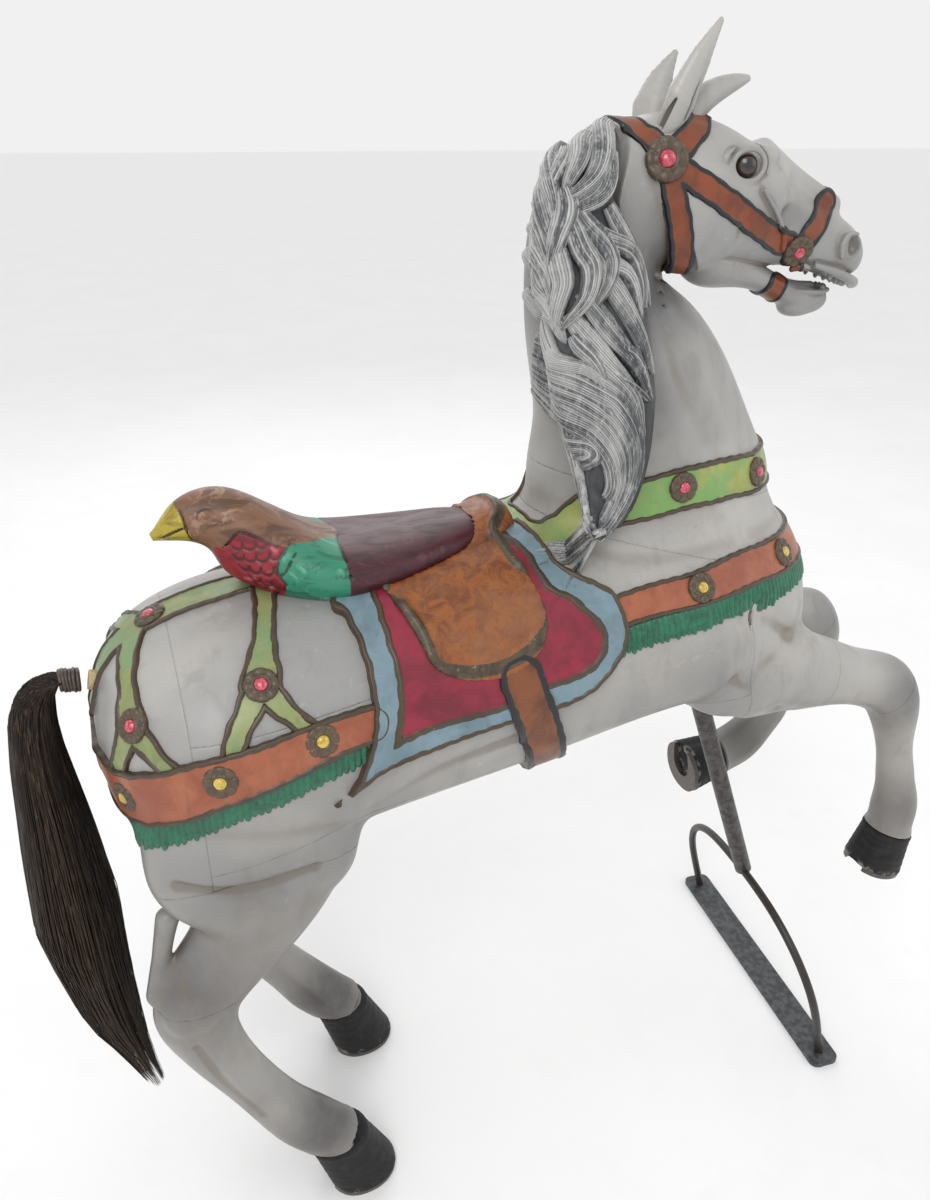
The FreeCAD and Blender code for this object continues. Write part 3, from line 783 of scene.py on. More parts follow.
def shape_skull(clay):
    add, cut = clay.blob, clay.stroke
    clay.both(add, (128, 34, 1172), (46, 20, 44), 14 * MM)                  # jowl
    clay.both(add, (204, 22, 1233), (17, 12, 9), 12 * MM)                  # brow
    clay.both(cut, [(150, 44, 1128), (172, 50, 1150), (176, 53, 1180)], [1.5, 3, 1], 8 * MM,
              carve=True)
    clay.both(cut, [(196, 50, 1203), (214, 46, 1183), (228, 40, 1163), (231, 36, 1148)],
              [2.4, 3.0, 2.6, 1.6], 3 * MM)                                 # facial crest
    clay.both(cut, [(203, 50, 1199), (221, 46, 1181), (234, 40, 1163), (238, 37, 1150)],
              [1.0, 2.2, 2.0, 1.0], 4 * MM, carve=True)
    clay.both(add, (250, 37, 1178), (30, 8, 11), 9 * MM, carve=True, yaw=14)  # hollow by the nose
    clay.both(add, (150, 52, 1238), (24, 7, 11), 10 * MM, carve=True)       # temple
    clay.stroke([(215, 0, 1238), (255, 0, 1212), (300, 0, 1188)], [10, 9, 8], 16 * MM)
    # nostrils
    clay.both(add, (309, 27, 1148), (15, 8, 14), 6 * MM)
    clay.both(add, (313, 34, 1149), (7, 9, 10), 2.5 * MM, carve=True)
    clay.both(cut, [(300, 34, 1139), (298, 35, 1150), (305, 34, 1161), (316, 31, 1160)],
              [2.2, 2.8, 2.8, 1.8], 2.5 * MM)
    clay.both(cut, [(292, 34, 1132), (289, 36, 1150), (296, 34, 1166)], [1, 1.8, 1], 4 * MM,
              carve=True)


def shape_eyes(clay):
    """A socket for each glass eye, with a heavy upper lid and a fold above it."""
    eye = np.array((177, 40, 1225))
    clay.both(clay.blob, eye + (0, 8, 0), (14.5, 12, 12.5), 2 * MM, carve=True)
    for radius, thick, dy in ((15.5, 2.6, 8), (21.0, 1.8, 5)):
        arc = [eye + (radius * math.cos(a) * (1.06 if radius < 18 else 1.1),
                      dy - 0.10 * radius * abs(math.cos(a)),
                      radius * math.sin(a) * 0.92)
               for a in np.radians(np.linspace(-20 if radius > 18 else -180, 200 if radius > 18 else 180, 17))]
        clay.both(clay.stroke, arc, [thick] * 5, 2.2 * MM)
    clay.both(clay.stroke, [eye + (-20, 6, -3), eye + (-28, 8, -8)], [1.6, 1.0], 3 * MM)
    clay.both(clay.stroke, [eye + (-17, 5, 14), eye + (0, 4, 20), eye + (17, 2, 15)],
              [0.8, 1.6, 0.8],
              3 * MM, carve=True)


def shape_mouth(clay):
    """Parted lips with carved teeth, a chin and a tongue."""
    for y in (-28, -14, 0, 14, 28):
        clay.stroke([(263, y, 1130), (283, y, 1119), (304, y, 1112), (340, y, 1099)],
                    [0.8, 4.5, 9, 10],
                    2.5 * MM, True)
    clay.both(clay.stroke, [(250, 26, 1127), (262, 29, 1130), (270, 27, 1127)], [1.5, 3, 1.5],
              3 * MM)
    clay.both(clay.stroke, [(276, 29, 1130), (302, 29, 1122), (326, 22, 1112), (333, 8, 1108)],
              [3, 4.5, 5, 5], 3 * MM)
    clay.blob((286, 0, 1090), (20, 16, 11), 6 * MM)
    clay.blob((272, 0, 1084), (16, 15, 9), 6 * MM)
    clay.both(clay.stroke, [(262, 19, 1104), (288, 19, 1102), (304, 11, 1103)], [2, 2.6, 2.6],
              2.5 * MM)
    clay.stroke([(238, 0, 1112), (266, 0, 1108), (288, 0, 1108)], [9, 10, 6], 3 * MM,
                flat=((0, 0, 1), 0.5))
    for i in range(6):
        clay.both(clay.blob, (324 - 1.1 * i * i, 3.2 + 4.2 * i, 1111 + 0.35 * i * i),
                  (3.2, 2.7, 6.0), 0.8 * MM)
    for i in range(3):
        clay.both(clay.blob, (302 - 1.3 * i * i, 3.2 + 5.0 * i, 1103), (3.4, 2.9, 6.5), 0.8 * MM)


def head_piece():
    clay = head_clay()
    points, faces = clay.mesh()
    head = new_object("head_block", points, faces)
    shade = np.zeros(len(points))
    for x, y, z, radius, strength in HEAD_SHADOWS:
        gap = np.linalg.norm(points * (1, 0, 1) + np.abs(points) * (0, 1, 0) - np.array((x, y, z)) * MM, axis=1)
        shade += strength * np.exp(-(gap / (radius * MM))**2)
    add_number(head, "shade", np.clip(shade, 0, 1))
    add_number(head, "hollow", clay.hollowness(points, 5 * MM))
    return head


HEAD_SHADOWS = [
    (250, 36, 1180, 26, 0.35), (177, 46, 1225, 20, 0.30), (200, 44, 1195, 20, 0.15),
    (110, 30, 1262, 26, 0.30), (313, 34, 1149, 10, 0.60), (300, 10, 1112, 22, 0.55),
    (262, 22, 1112, 14, 0.45), (130, 30, 1130, 24, 0.30), (320, 20, 1135, 22, 0.20),
]


def ear_piece(side, tip, name):
    """A cupped ear that opens forward, in its own fine clay."""
    base = np.array((99, side * 26, 1252), float)
    tip = np.array(tip, float)
    low = np.minimum(base, tip) - 24
    high = np.maximum(base, tip) + 24
    clay = Clay(low * MM, high * MM, EAR_VOXEL)
    bend = np.array((-3, side * 4, 2))
    middle = base * 0.62 + tip * 0.38 + bend
    upper = base * 0.28 + tip * 0.72 + bend * 0.8
    clay.stroke([base, middle, upper, tip], [15.0, 18.0, 12.5, 3.5], 2 * MM,
                flat=((0.55, side * 0.8, 0), 0.62))
    facing = np.array((8.5, side * 5.5, -2))
    clay.stroke([base + facing * 1.3 + (2, 0, 16), middle + facing * 1.35, upper + facing * 1.2,
                 tip + facing * 0.8], [3, 5.5, 4, 0.5], 3 * MM, carve=True)
    clay.stroke([base + (-10, side * 8, 6), middle + (-12, side * 9, -8)], [3.0, 1.0], 5 * MM,
                carve=True)
    points, faces = clay.mesh()
    ear = new_object(name, points, faces)
    height = (points[:, 2] - base[2] * MM) / ((tip[2] - base[2]) * MM)
    depth = clay.hollowness(points, 5 * MM)
    add_number(ear, "shade", np.clip(0.75 * np.exp(-((height - 0.12) / 0.22)**2) * 0.6
                                     + 1.6 * (depth - 0.55), 0, 1))
    add_number(ear, "hollow", depth)
    return ear


# Reliefs: bands and panels that are carved in the wood and painted

def sided(points, side):
    """Places listed on the horse's right, on the side asked for."""
    rows = places(points)
    rows[:, 1] *= -side
    return rows


def both_ways(points):
    """A path on the right that goes on past its last place along the left."""
    right = places(points)
    return np.vstack([right, mirrored(right)[-2::-1]])


def ribbon(skin, path, widths):
    """How far points are outside a ribbon along a path on the skin."""
    path = skin.snap(smooth_path(path, 5 * MM))[0]
    widths = np.atleast_1d(widths) * MM / 2
    half = np.interp(np.linspace(0, 1, len(path)), np.linspace(0, 1, len(widths)), widths)
    low, high = path.min(0) - 0.06, path.max(0) + 0.06

    def measure(points):
        gaps = np.full(len(points), FAR)
        inside = np.all((points > low) & (points < high), axis=1)
        rows = points[inside]
        best = np.full(len(rows), FAR)
        for a, b, ra, rb in zip(path[:-1], path[1:], half[:-1], half[1:]):
            d = b - a
            t = np.clip((rows - a) @ d / max(d @ d, 1e-12), 0, 1)
            best = np.minimum(best, np.linalg.norm(rows - a - t[:, None] * d,
                                                   axis=1) - (ra + (rb - ra) * t))
        gaps[inside] = best
        return gaps

    return measure


def panel(outline, side):
    """How far points are outside an outline that is seen from the side."""
    loop = smooth_path(places(outline + outline[:1]), 5 * MM)[:, [0, 2]]

    def measure(points):
        gaps = np.full(len(points), FAR)
        low, high = loop.min(0) - 0.03, loop.max(0) + 0.03
        flat = points[:, [0, 2]]
        near = np.all((flat > low) & (flat < high), axis=1) & (points[:, 1] * side > 0.02)
        rows = flat[near]
        best = np.full(len(rows), FAR)
        inside = np.zeros(len(rows), bool)
        for a, b in zip(loop, np.roll(loop, -1, axis=0)):
            d = b - a
            if d @ d < 1e-12:
                continue
            t = np.clip((rows - a) @ d / (d @ d), 0, 1)
            best = np.minimum(best, np.linalg.norm(rows - a - t[:, None] * d, axis=1))
            if abs(d[1]) > 1e-12:
                crosses = (a[1] > rows[:, 1]) != (b[1] > rows[:, 1])
                inside ^= crosses & (rows[:, 0] < a[0] + (rows[:, 1] - a[1]) / d[1] * d[0])
        gaps[near] = np.where(inside, -best, best)
        return gaps

    return measure


def any_of(measures):
    return lambda points: np.min([m(points) for m in measures], axis=0)


def relief(name, base, measures, look, rise=2.2 * MM, roll=1.9 * MM, bead=EDGE, level=2,
           voxel=BODY_VOXEL):
    """A closed raised patch over the wood, with a rolled edge along each measure."""
    points, quads = base
    near = measures[0](points) < 4 * voxel
    faces = quads[near[quads].all(axis=1)]
    used = np.unique(faces)
    place = np.zeros(len(points), int)
    place[used] = np.arange(len(used))
    coarse = new_object(name + "_coarse", points[used], place[faces].tolist())
    finer = coarse.modifiers.new("finer", "SUBSURF")
    finer.levels = finer.render_levels = level
    mesh = bpy.data.meshes.new_from_object(coarse.evaluated_get(bpy.context.evaluated_depsgraph_get()))
    bpy.data.objects.remove(coarse)
    co, out = np.empty(len(mesh.vertices) * 3, np.float32), np.empty(len(mesh.vertices) * 3,
                                                                     np.float32)
    mesh.vertices.foreach_get("co", co)
    mesh.vertices.foreach_get("normal", out)
    corners = np.empty(len(mesh.loops), np.int32)
    mesh.loops.foreach_get("vertex_index", corners)
    bpy.data.meshes.remove(mesh)
    co, out, corners = co.reshape(-1, 3).astype(float), out.reshape(-1, 3).astype(float), corners.reshape(-1, 4)
    wobble = 0.35 * MM * (np.sin(co[:, 0] * 410) + np.sin(co[:, 2] * 370 + 1) + np.sin(co[:, 1] * 290 + 2))
    gaps = [m(co) + wobble for m in measures]
    inner = np.clip(-gaps[0] / (1.3 * MM), 0, 1)
    height = -0.9 * MM + (rise + 0.9 * MM) * inner * inner * (3 - 2 * inner)
    for gap in gaps:
        height += roll * np.sqrt(np.clip(1 - ((gap + bead / 2) / (bead / 2))**2, 0, 1))
    corners = corners[(gaps[0][corners] < 1.0 * MM).any(axis=1)]
    used = np.unique(corners)
    place = np.zeros(len(co), int)
    place[used] = np.arange(len(used))
    corners = place[corners]
    top = co[used] + out[used] * height[used][:, None]
    bottom = co[used] - out[used] * 2.5 * MM
    sides = np.concatenate([corners[:, [k, (k + 1) % 4]] for k in range(4)])
    keys = {tuple(e) for e in sides.tolist()}
    walls = [(b, a, a + len(used), b + len(used)) for a, b in keys if (b, a) not in keys]
    made = new_object(name, np.concatenate([top, bottom]),
                      corners.tolist() + (corners[:, ::-1] + len(used)).tolist() + walls)
    for k, gap in enumerate(gaps):
        add_number(made, f"edge_{k + 1}", np.tile(gap[used] / MM, 2))
    made.data.materials.append(look)
    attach(made, "horse")
    return made


# Trappings

COLLAR = [(-52, 0, 880), (-50, -40, 885), (-25, -68, 893), (20, -84, 900), (70, -88, 908),
          (113, -92, 916),
          (170, -86, 917), (224, -69, 915), (262, -35, 916), (275, 0, 917)]
BREAST = [(8, -138, 808), (60, -137, 815), (116, -139, 820), (182, -125, 825), (247, -105, 826),
          (300, -60, 825), (320, 0, 824)]
HIP = [(-256, -155, 752), (-305, -159, 746), (-352, -161, 735), (-399, -156, 724),
       (-444, -133, 706),
       (-480, -95, 690), (-500, -50, 684), (-508, 0, 682)]
SPINE = [(-255, 0, 856), (-300, 0, 850), (-345, 0, 845), (-381, 0, 838), (-433, 0, 824),
         (-470, 0, 800),
         (-495, 0, 775), (-508, 0, 745)]
DROPS = [
    # path, widths from top to bottom
    ([(-322, -2, 848), (-326, -42, 843), (-338, -91, 826), (-350, -127, 799)], (30, 24, 24, 42)),
    ([(-350, -127, 799), (-368, -140, 778), (-381, -150, 760), (-386, -153, 748)], (34, 26, 24)),
    ([(-350, -127, 799), (-335, -143, 780), (-318, -154, 763), (-304, -157, 752)], (34, 22, 22)),
    ([(-445, -2, 819), (-457, -31, 809), (-463, -71, 788), (-466, -98, 764)], (34, 28, 24, 40)),
    ([(-466, -98, 764), (-476, -96, 740), (-483, -92, 722), (-486, -90, 704)], (34, 26, 24)),
    ([(-466, -98, 764), (-455, -118, 752), (-443, -131, 738), (-432, -138, 726)], (34, 22, 22)),
]
BLANKET = [(-240, 0, 880), (-267, -66, 841), (-259, -90, 831), (-253, -118, 811), (-252, -143, 781),
           (-255, -154, 754), (-266, -161, 716), (-282, -161, 684), (-298, -160, 670), (-298, -160, 670),
           (-272, -161, 687), (-241, -159, 701), (-188, -157, 709), (-117, -156, 718), (-56, -158, 725),
           (-22, -159, 736), (6, -158, 759), (22, -152, 783), (23, -144, 802), (14, -125, 829),
           (-29, -92, 851), (-60, 0, 880)]
PANEL = [(-222, 0, 875), (-227, -84, 835), (-227, -115, 815), (-226, -145, 776), (-237, -159, 724),
         (-237, -159, 724), (-197, -155, 732), (-122, -155, 736), (-69, -155, 749), (-45, -156, 752),
         (-16, -155, 763), (-3, -151, 781), (-5, -142, 801), (-26, -123, 824), (-49, -106, 838),
         (-75, 0, 870)]
GIRTH = [(-99, -152, 764), (-90, -155, 735), (-72, -152, 688), (-55, -120, 640), (-45, -60, 612),
         (-42, 0, 604)]


def trappings(base, skin, paints):
    """The straps, the blanket and the girth, carved on the body."""
    relief("crupper_straps", base, [any_of(
        [ribbon(skin, places(SPINE), (34, 38, 46, 44, 40, 36))]
        + [ribbon(skin, sided(path, side), widths) for path, widths in DROPS for side in (RIGHT, LEFT)])],
        paints["green strap"])
    relief("collar", base, [ribbon(skin, both_ways(COLLAR), (44, 48, 48, 48, 44))],
           paints["collar"])
    relief("breast_strap", base, [ribbon(skin, both_ways(BREAST), (36, 44, 46, 44, 36))],
           paints["orange strap"])
    relief("hip_band", base, [ribbon(skin, both_ways(HIP), (38, 46, 56, 60, 58, 60, 56, 46, 38))],
           paints["orange strap"], rise=4.6 * MM)
    for side, name in ((RIGHT, "right_blanket"), (LEFT, "left_blanket")):
        relief(name, base, [panel(BLANKET, side), panel(PANEL, side)], paints["blanket"],
               rise=6.4 * MM)
    relief("girth", base, [ribbon(skin, both_ways(GIRTH), (50, 44, 42, 44, 50))], paints["girth"],
           rise=8.6 * MM, bead=7 * MM, roll=1.2 * MM)
    tassels = Carving()
    path = both_ways(BREAST)
    fringe(tassels, skin, path - (0, 0, 0.019), path - (0, 0, 0.047), 0)
    path = both_ways(HIP)
    share = np.abs(np.linspace(-1, 1, len(path)))[:, None]
    drop = 30 * (1 - share) + 20 * share
    fringe(tassels, skin, path - np.hstack([0 * share, 0 * share, (drop - 4) * MM]),
           path - np.hstack([0 * share, 0 * share, (drop + 37 - 18 * share) * MM]), 0)
    tassels.build("fringes", [paints["fringe"]])


RED_SEATS = [(113, -92, 918), (222, -69, 914), (-350, -127, 799), (-463, -99, 766)]
YELLOW_SEATS = [(116, -139, 820), (247, -105, 826), (-399, -156, 726), (-305, -159, 748),
                (-478, -95, 691)]
BRIDLE_SEATS = [((92, -48, 1230), 20.5), ((250, -30, 1146), 16)]
SEAT_LIFT = 2.4 * MM


def jewels(skin, head_skin, paints):
    """Every rosette, and the glass set in it."""
    flowers, red, yellow = Carving(), Carving(), Carving()
    seats = [(skin, place, 16.5, red, None) for place in RED_SEATS]
    seats += [(skin, place, 16.5, yellow, None) for place in YELLOW_SEATS]
    seats += [(head_skin, place, radius, red, TURN) for place, radius in BRIDLE_SEATS]
    for surface, place, radius, glass, turn in seats:
        for side in (RIGHT, LEFT):
            at, out = surface.snap(sided([place], side))
            set_jewel(flowers, glass, at[0], out[0], radius * MM, turn)
    at, out = skin.snap(places([(-433, 0, 826)]))
    set_jewel(flowers, red, at[0], out[0], 16.5 * MM, None)
    flowers.build("rosettes", [paints["rosette"]])
    for glass, name, slot in ((red, "red_jewels", "red_glass"),
                              (yellow, "yellow_jewels", "yellow_glass")):
        piece = glass.build(name + "_glass", [paints[slot]])
        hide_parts(name)


def set_jewel(flowers, glass, at, out, radius, turn):
    if turn is not None:
        at, out = np.array(turn @ Vector(at)), np.array(turn.to_3x3() @ Vector(out))
    centre = at + out * SEAT_LIFT
    rosette(flowers, centre, out, radius)
    stone(glass, centre, out, radius * 0.40)


CROWN = [(58, 0, 1274), (64, -22, 1270), (76, -42, 1253), (92, -48, 1230), (102, -50, 1200),
         (112, -46, 1170),
         (120, -34, 1146), (126, -14, 1134), (127, 0, 1132)]
CHEEK = [(92, -48, 1230), (122, -54, 1213), (160, -53, 1191), (200, -46, 1168), (230, -36, 1154),
         (250, -32, 1146)]
BROW = [(92, -48, 1230), (112, -46, 1246), (128, -34, 1260), (136, -18, 1268)]
NOSE = [(288, 0, 1190), (282, -16, 1186), (270, -28, 1170), (252, -32, 1146), (243, -26, 1120),
        (238, -12, 1103),
        (237, 0, 1098)]


def bridle(base, skin, paints):
    straps = [ribbon(skin, both_ways(CROWN), (24, 24, 25, 24, 24)),
              ribbon(skin, both_ways(NOSE), 24)]
    for side in (RIGHT, LEFT):
        straps += [ribbon(skin, sided(CHEEK, side), 26), ribbon(skin, sided(BROW, side), (30, 24))]
    made = relief("bridle", base, [any_of(straps)], paints["bridle"], rise=1.8 * MM, roll=0.9 * MM,
                  bead=5.0 * MM, level=1, voxel=HEAD_VOXEL)
    made.data.transform(TURN)


# Mane

LOCKS = [
    # width, strands, lift off the neck, path from the crest to the tip
    (26, 7, 3, [(-38, 0, 1110), (-45, -50, 1085), (-45, -77, 1062), (-14, -113, 1051),
                (11, -123, 1013)]),
    (26, 6, 3, [(-32, -101, 1087), (-14, -111, 1069), (-1, -116, 1046)]),
    (16, 4, 2, [(2, -106, 1092), (10, -113, 1080), (35, -114, 1063), (54, -116, 1024)]),
    (14, 4, 2, [(-6, -112, 1062), (11, -117, 1049), (30, -119, 1038), (52, -118, 1021)]),
    (18, 5, 2, [(-14, -96, 1165), (6, -100, 1150), (30, -100, 1136), (43, -105, 1097)]),
    (24, 7, 2, [(12, -84, 1196), (34, -88, 1168), (50, -92, 1138), (54, -96, 1106)]),
    (24, 7, 2, [(-10, -92, 1150), (20, -100, 1112), (42, -108, 1080), (58, -112, 1046)]),
    (24, 7, 2, [(-24, -98, 1124), (8, -110, 1086), (36, -114, 1056), (54, -118, 1020)]),
    (26, 7, 2, [(-34, -92, 1104), (-2, -108, 1066), (30, -118, 1030), (44, -124, 988)]),
    (28, 7, 5, [(-46, 0, 1150), (-52, -45, 1128), (-48, -76, 1110), (-38, -96, 1078)]),
    (28, 7, 5, [(-50, -4, 1178), (-58, -40, 1158), (-54, -72, 1140), (-44, -88, 1104)]),
    (20, 6, 5, [(-22, -90, 1190), (-2, -95, 1171), (33, -92, 1155), (46, -96, 1128),
                (44, -103, 1107)]),
    (24, 6, 6, [(-26, -88, 1196), (-16, -92, 1179), (4, -99, 1156), (4, -104, 1134),
                (-11, -106, 1111)]),
    (24, 6, 7, [(-44, -80, 1165), (-43, -87, 1147), (-40, -92, 1132), (-44, -89, 1106),
                (-46, -88, 1088)]),
    (24, 6, 8, [(-30, -82, 1186), (-23, -95, 1160), (-14, -100, 1145), (-19, -103, 1119),
                (-41, -93, 1090)]),
    (24, 6, 8, [(-32, -70, 1208), (-34, -83, 1190), (-41, -84, 1169), (-49, -81, 1140)]),
    (28, 7, 4, [(-46, -2, 1202), (-54, -40, 1183), (-53, -64, 1168), (-50, -80, 1142)]),
    (28, 7, 6, [(-38, -2, 1224), (-48, -40, 1205), (-50, -62, 1187), (-46, -80, 1162)]),
    (26, 7, 8, [(-20, -2, 1246), (-33, -40, 1227), (-42, -66, 1204), (-43, -80, 1178)]),
    (20, 6, 6, [(-22, -44, 1242), (-27, -52, 1236), (-40, -60, 1213), (-46, -66, 1196)]),
    (20, 6, 7, [(0, -50, 1254), (-10, -57, 1247), (-17, -69, 1231), (-35, -74, 1205)]),
    (22, 6, 6, [(22, -62, 1240), (15, -71, 1229), (2, -84, 1206), (-19, -87, 1195),
                (-44, -78, 1186)]),
    (24, 7, 8, [(26, -42, 1264), (17, -49, 1260), (7, -70, 1235), (-5, -80, 1218), (-23, -82, 1206),
                (-46, -74, 1196)]),
]
LONG_TOP = [(-38, -20, 1066), (-24, -100, 1050), (16, -116, 1022), (36, -126, 980), (28, -140, 938),
            (0, -150, 902), (-40, -150, 866)]
LONG_BOTTOM = [(-38, -3, 1012), (-34, -50, 990), (-28, -80, 958), (-22, -88, 925), (-34, -84, 897),
               (-52, -72, 882), (-72, -58, 872)]
LONG_LOCKS = 12
MANE_SHRINK = 10 * MM


def lock(carving, skin, path, width, strands, lift):
    """A carved lock of hair: side-by-side strands that swell and come to a point."""
    centre = smooth_path(path, 3 * MM)
    strands = int(strands * 1.5)
    rows, columns = len(centre), strands * 6 + 1
    centre = skin.snap(centre)[0]
    for _ in range(3):
        centre[1:-1] = (centre[:-2] + centre[1:-1] * 2 + centre[2:]) / 4
    centre = resampled(centre, rows)
    out = skin.snap(centre)[1]
    across = np.cross(out, np.gradient(centre, axis=0))
    across /= np.linalg.norm(across, axis=1, keepdims=True)
    t = np.linspace(0, 1, rows)[:, None]
    u = np.linspace(-1, 1, columns)[None, :]
    half = width * MM / 2 * (0.55 + 0.45 * np.sin(np.pi * np.clip(t * 1.4, 0, 0.5))) * np.clip(
        1 - t, 0, 1)**0.45
    sway = 0.10 * np.sin(t * 5 + lift)
    grid = centre[:, None] + across[:, None] * (half * (u + sway))[:, :, None]
    at, out = skin.snap(grid)
    strand = (u + 1) / 2 * strands + 0.35 * np.sin(t * 4 + lift)
    crest = np.abs(np.sin(np.pi * strand))**0.7
    own = np.sin(np.floor(strand) * 2.1 + lift)
    arch = np.sqrt(np.clip(1 - u * u, 0, 1))
    body = (7.5 * MM * arch + lift * MM * 0.9) * (0.45 + 0.55 * np.sin(np.pi * (0.12 + 0.80 * t)))
    height = body + (1.3 * MM + 0.5 * MM * own) * crest * arch**0.5
    number = np.floor(strand) + 17 * int(abs(path[0][2]) / MM)
    carving.sheet(at, out, height, [0] * columns, run=0.98 * crest + 2 * number)


def mane(paints):
    """The carved mane, on an under-form cut back from the mane's block."""
    points, _ = node_mesh(["mane_block"])
    clay = Clay(points.min(0) - 0.03, points.max(0) + 0.03, 2 * BIRD_VOXEL)
    everything = (slice(None),) * 3
    heights = (np.arange(clay.size[2]) + clay.low[2]) * clay.voxel
    thinner = MANE_SHRINK + 0.10 * np.clip(1.02 - heights, 0, None)
    clay.field = clay.distances(["mane_block"]) + thinner.astype(np.float32)
    under = new_object("mane_underform", *clay.mesh())
    under.data.materials.append(paints["mane"])
    add_number(under, "run", np.zeros(len(under.data.vertices)))
    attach(under, "horse")
    clay.merge(everything, clay.distances(NECK_NODES + ["head_block", "back_board",
                                                        "right_side_board"]), 14 * MM)
    skin = Skin(new_object("mane_skin", *clay.mesh()))
    bpy.data.objects.remove(bpy.data.objects["mane_skin"])
    carving = Carving()
    top = resampled(smooth_path(places(LONG_TOP)), 40)
    bottom = resampled(smooth_path(places(LONG_BOTTOM)), 40)
    for k in range(LONG_LOCKS):
        share = k / (LONG_LOCKS - 1)
        reach = 40 - (k * 7) % 6
        path = (top * (1 - share) + bottom * share)[:reach]
        lock(carving, skin, path[::3], 30, 8, 1.5 + (k % 2) * 1.5)
    for width, strands, lift, path in LOCKS:
        lock(carving, skin, places(path), width, strands, lift)
    piece = carving.build("mane_locks", [paints["mane"]])
    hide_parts("mane_block")


def forelock():
    """The quiff that lies back beside the ear, and the curls below it."""
    points, _ = node_mesh(["forelock_block"])
    clay = Clay(points.min(0) - 0.02, points.max(0) + 0.02, EAR_VOXEL)
    clay.field = clay.distances(["forelock_block"])
    co, faces = clay.mesh()
    return new_object("forelock", co, faces)


# Saddle and bird

FLAP = [(-277, -69, 857), (-218, -71, 842), (-202, -103, 837), (-191, -129, 815), (-185, -145, 794),
        (-153, -151, 783), (-111, -152, 784), (-76, -146, 800), (-57, -124, 819), (-57, -104, 839),
        (-76, -82, 861), (-79, -52, 871), (-79, -44, 891), (-68, -31, 904), (-64, 0, 906)]


def nearest_on(path, points):
    """How far points are from a path."""
    best = np.full(len(points), FAR)
    for a, b in zip(path[:-1], path[1:]):
        d = b - a
        t = np.clip((points - a) @ d / max(d @ d, 1e-12), 0, 1)
        best = np.minimum(best, np.linalg.norm(points - a - t[:, None] * d, axis=1))
    return best


def saddle(paints):
    """The saddle's seat and flaps with a thick rolled rim."""
    points, _ = node_mesh(["saddle"])
    clay = Clay(points.min(0) - 0.012, points.max(0) + 0.012, 2 * MM)
    clay.field = clay.distances(["saddle"])
    coarse = Skin(new_object("saddle_skin", *clay.mesh()))
    bpy.data.objects.remove(bpy.data.objects["saddle_skin"])
    rim = np.vstack([sided(FLAP, RIGHT), sided(FLAP, LEFT)[-2::-1]])
    rim = coarse.snap(smooth_path(rim, 5 * MM))[0]
    inward = rim + (np.array((-0.15, 0, 0.88)) - rim) * 0.03
    clay.stroke(inward / MM, [4.6, 4.6], 3 * MM)
    co, faces = clay.mesh()
    made = new_object("saddle_seat", co, faces)
    add_number(made, "rim", nearest_on(rim, co) / MM)
    add_number(made, "hollow", clay.hollowness(co, 6 * MM))
    made.data.materials.append(paints["saddle"])
    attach(made, "horse")
    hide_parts("saddle")


def bird(paints):
    """The bird at the back of the saddle: beak, brow, eye, scales and wings."""
    points, _ = node_mesh(["bird_cantle"])
    clay = Clay(points.min(0) - 0.008, points.max(0) + 0.008, BIRD_VOXEL)
    clay.field = clay.distances(["bird_cantle"])
    plain = Skin(new_object("bird_skin", *clay.mesh()))
    bpy.data.objects.remove(bpy.data.objects["bird_skin"])
    both, cut, add = clay.both, clay.stroke, clay.blob
    both(cut, [(-415, 4, 905), (-403, 12, 913), (-392, 17, 919), (-384, 20, 920)],
         [0.8, 1.5, 1.6, 0.8],
         1.2 * MM, carve=True)                                              # gape
    both(cut, [(-394, 10, 940), (-390, 17, 930), (-388, 19, 918), (-384, 14, 905)],
         [1.2, 1.2, 1.2, 1.2],
         1.5 * MM, carve=True)                                              # edge of the beak
    eye = plain.snap(places([(-371, 30, 933)]))[0][0] / MM
    both(add, eye, (6.5, 2.4, 5.2), 2 * MM)
    both(add, eye + (0, 2.6, 0), (4.4, 2.4, 3.4), 1 * MM, carve=True)
    both(add, eye, (2.8, 2.4, 2.6), 0.6 * MM)
    both(cut, [(-357, 25, 897), (-350, 31, 906), (-342, 34, 914), (-330, 38, 910), (-316, 46, 903),
               (-303, 51, 899)], [1.1] * 6, 1.5 * MM, carve=True)
    rows = [(-340, 905, 3), (-333, 893, 4), (-328, 881, 4), (-324, 869, 3), (-322, 858, 2)]
    for x, z, count in rows:
        for k in range(count):
            cx = x + 14 * (k - (count - 1) / 2) + 5 * (z % 2)
            arc = [(cx + 8 * math.cos(a), 40,
                    z - 8 * math.sin(a)) for a in np.linspace(0.1, math.pi - 0.1, 6)]
            on = plain.snap(places(arc))[0] / MM
            both(cut, on, [0.9, 1.5, 1.5, 0.9], 1.4 * MM, carve=True)
    both(cut, [(-302, 52, 899), (-311, 55, 888), (-313, 55, 874), (-306, 58, 862)], [1.4] * 4,
         2 * MM, carve=True)
    both(cut, [(-242, 14, 889), (-246, 38, 887), (-247, 60, 879), (-246, 76, 866)], [1.2] * 4,
         1.8 * MM,
         carve=True)
    co, faces = clay.mesh()
    made = new_object("bird", co, faces)
    add_number(made, "hollow", clay.hollowness(co, 4 * MM))
    add_colour(made, "paint", bird_colours(co))
    made.data.materials.append(paints["bird"])
    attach(made, "horse")
    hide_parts("bird_cantle")


BEAK, BROWN, SCALE, GREEN, MAROON = ((0.40, 0.31, 0.03), (0.20, 0.095, 0.050), (0.26, 0.009, 0.022),
                                     (0.025, 0.22, 0.13), (0.060, 0.009, 0.016))


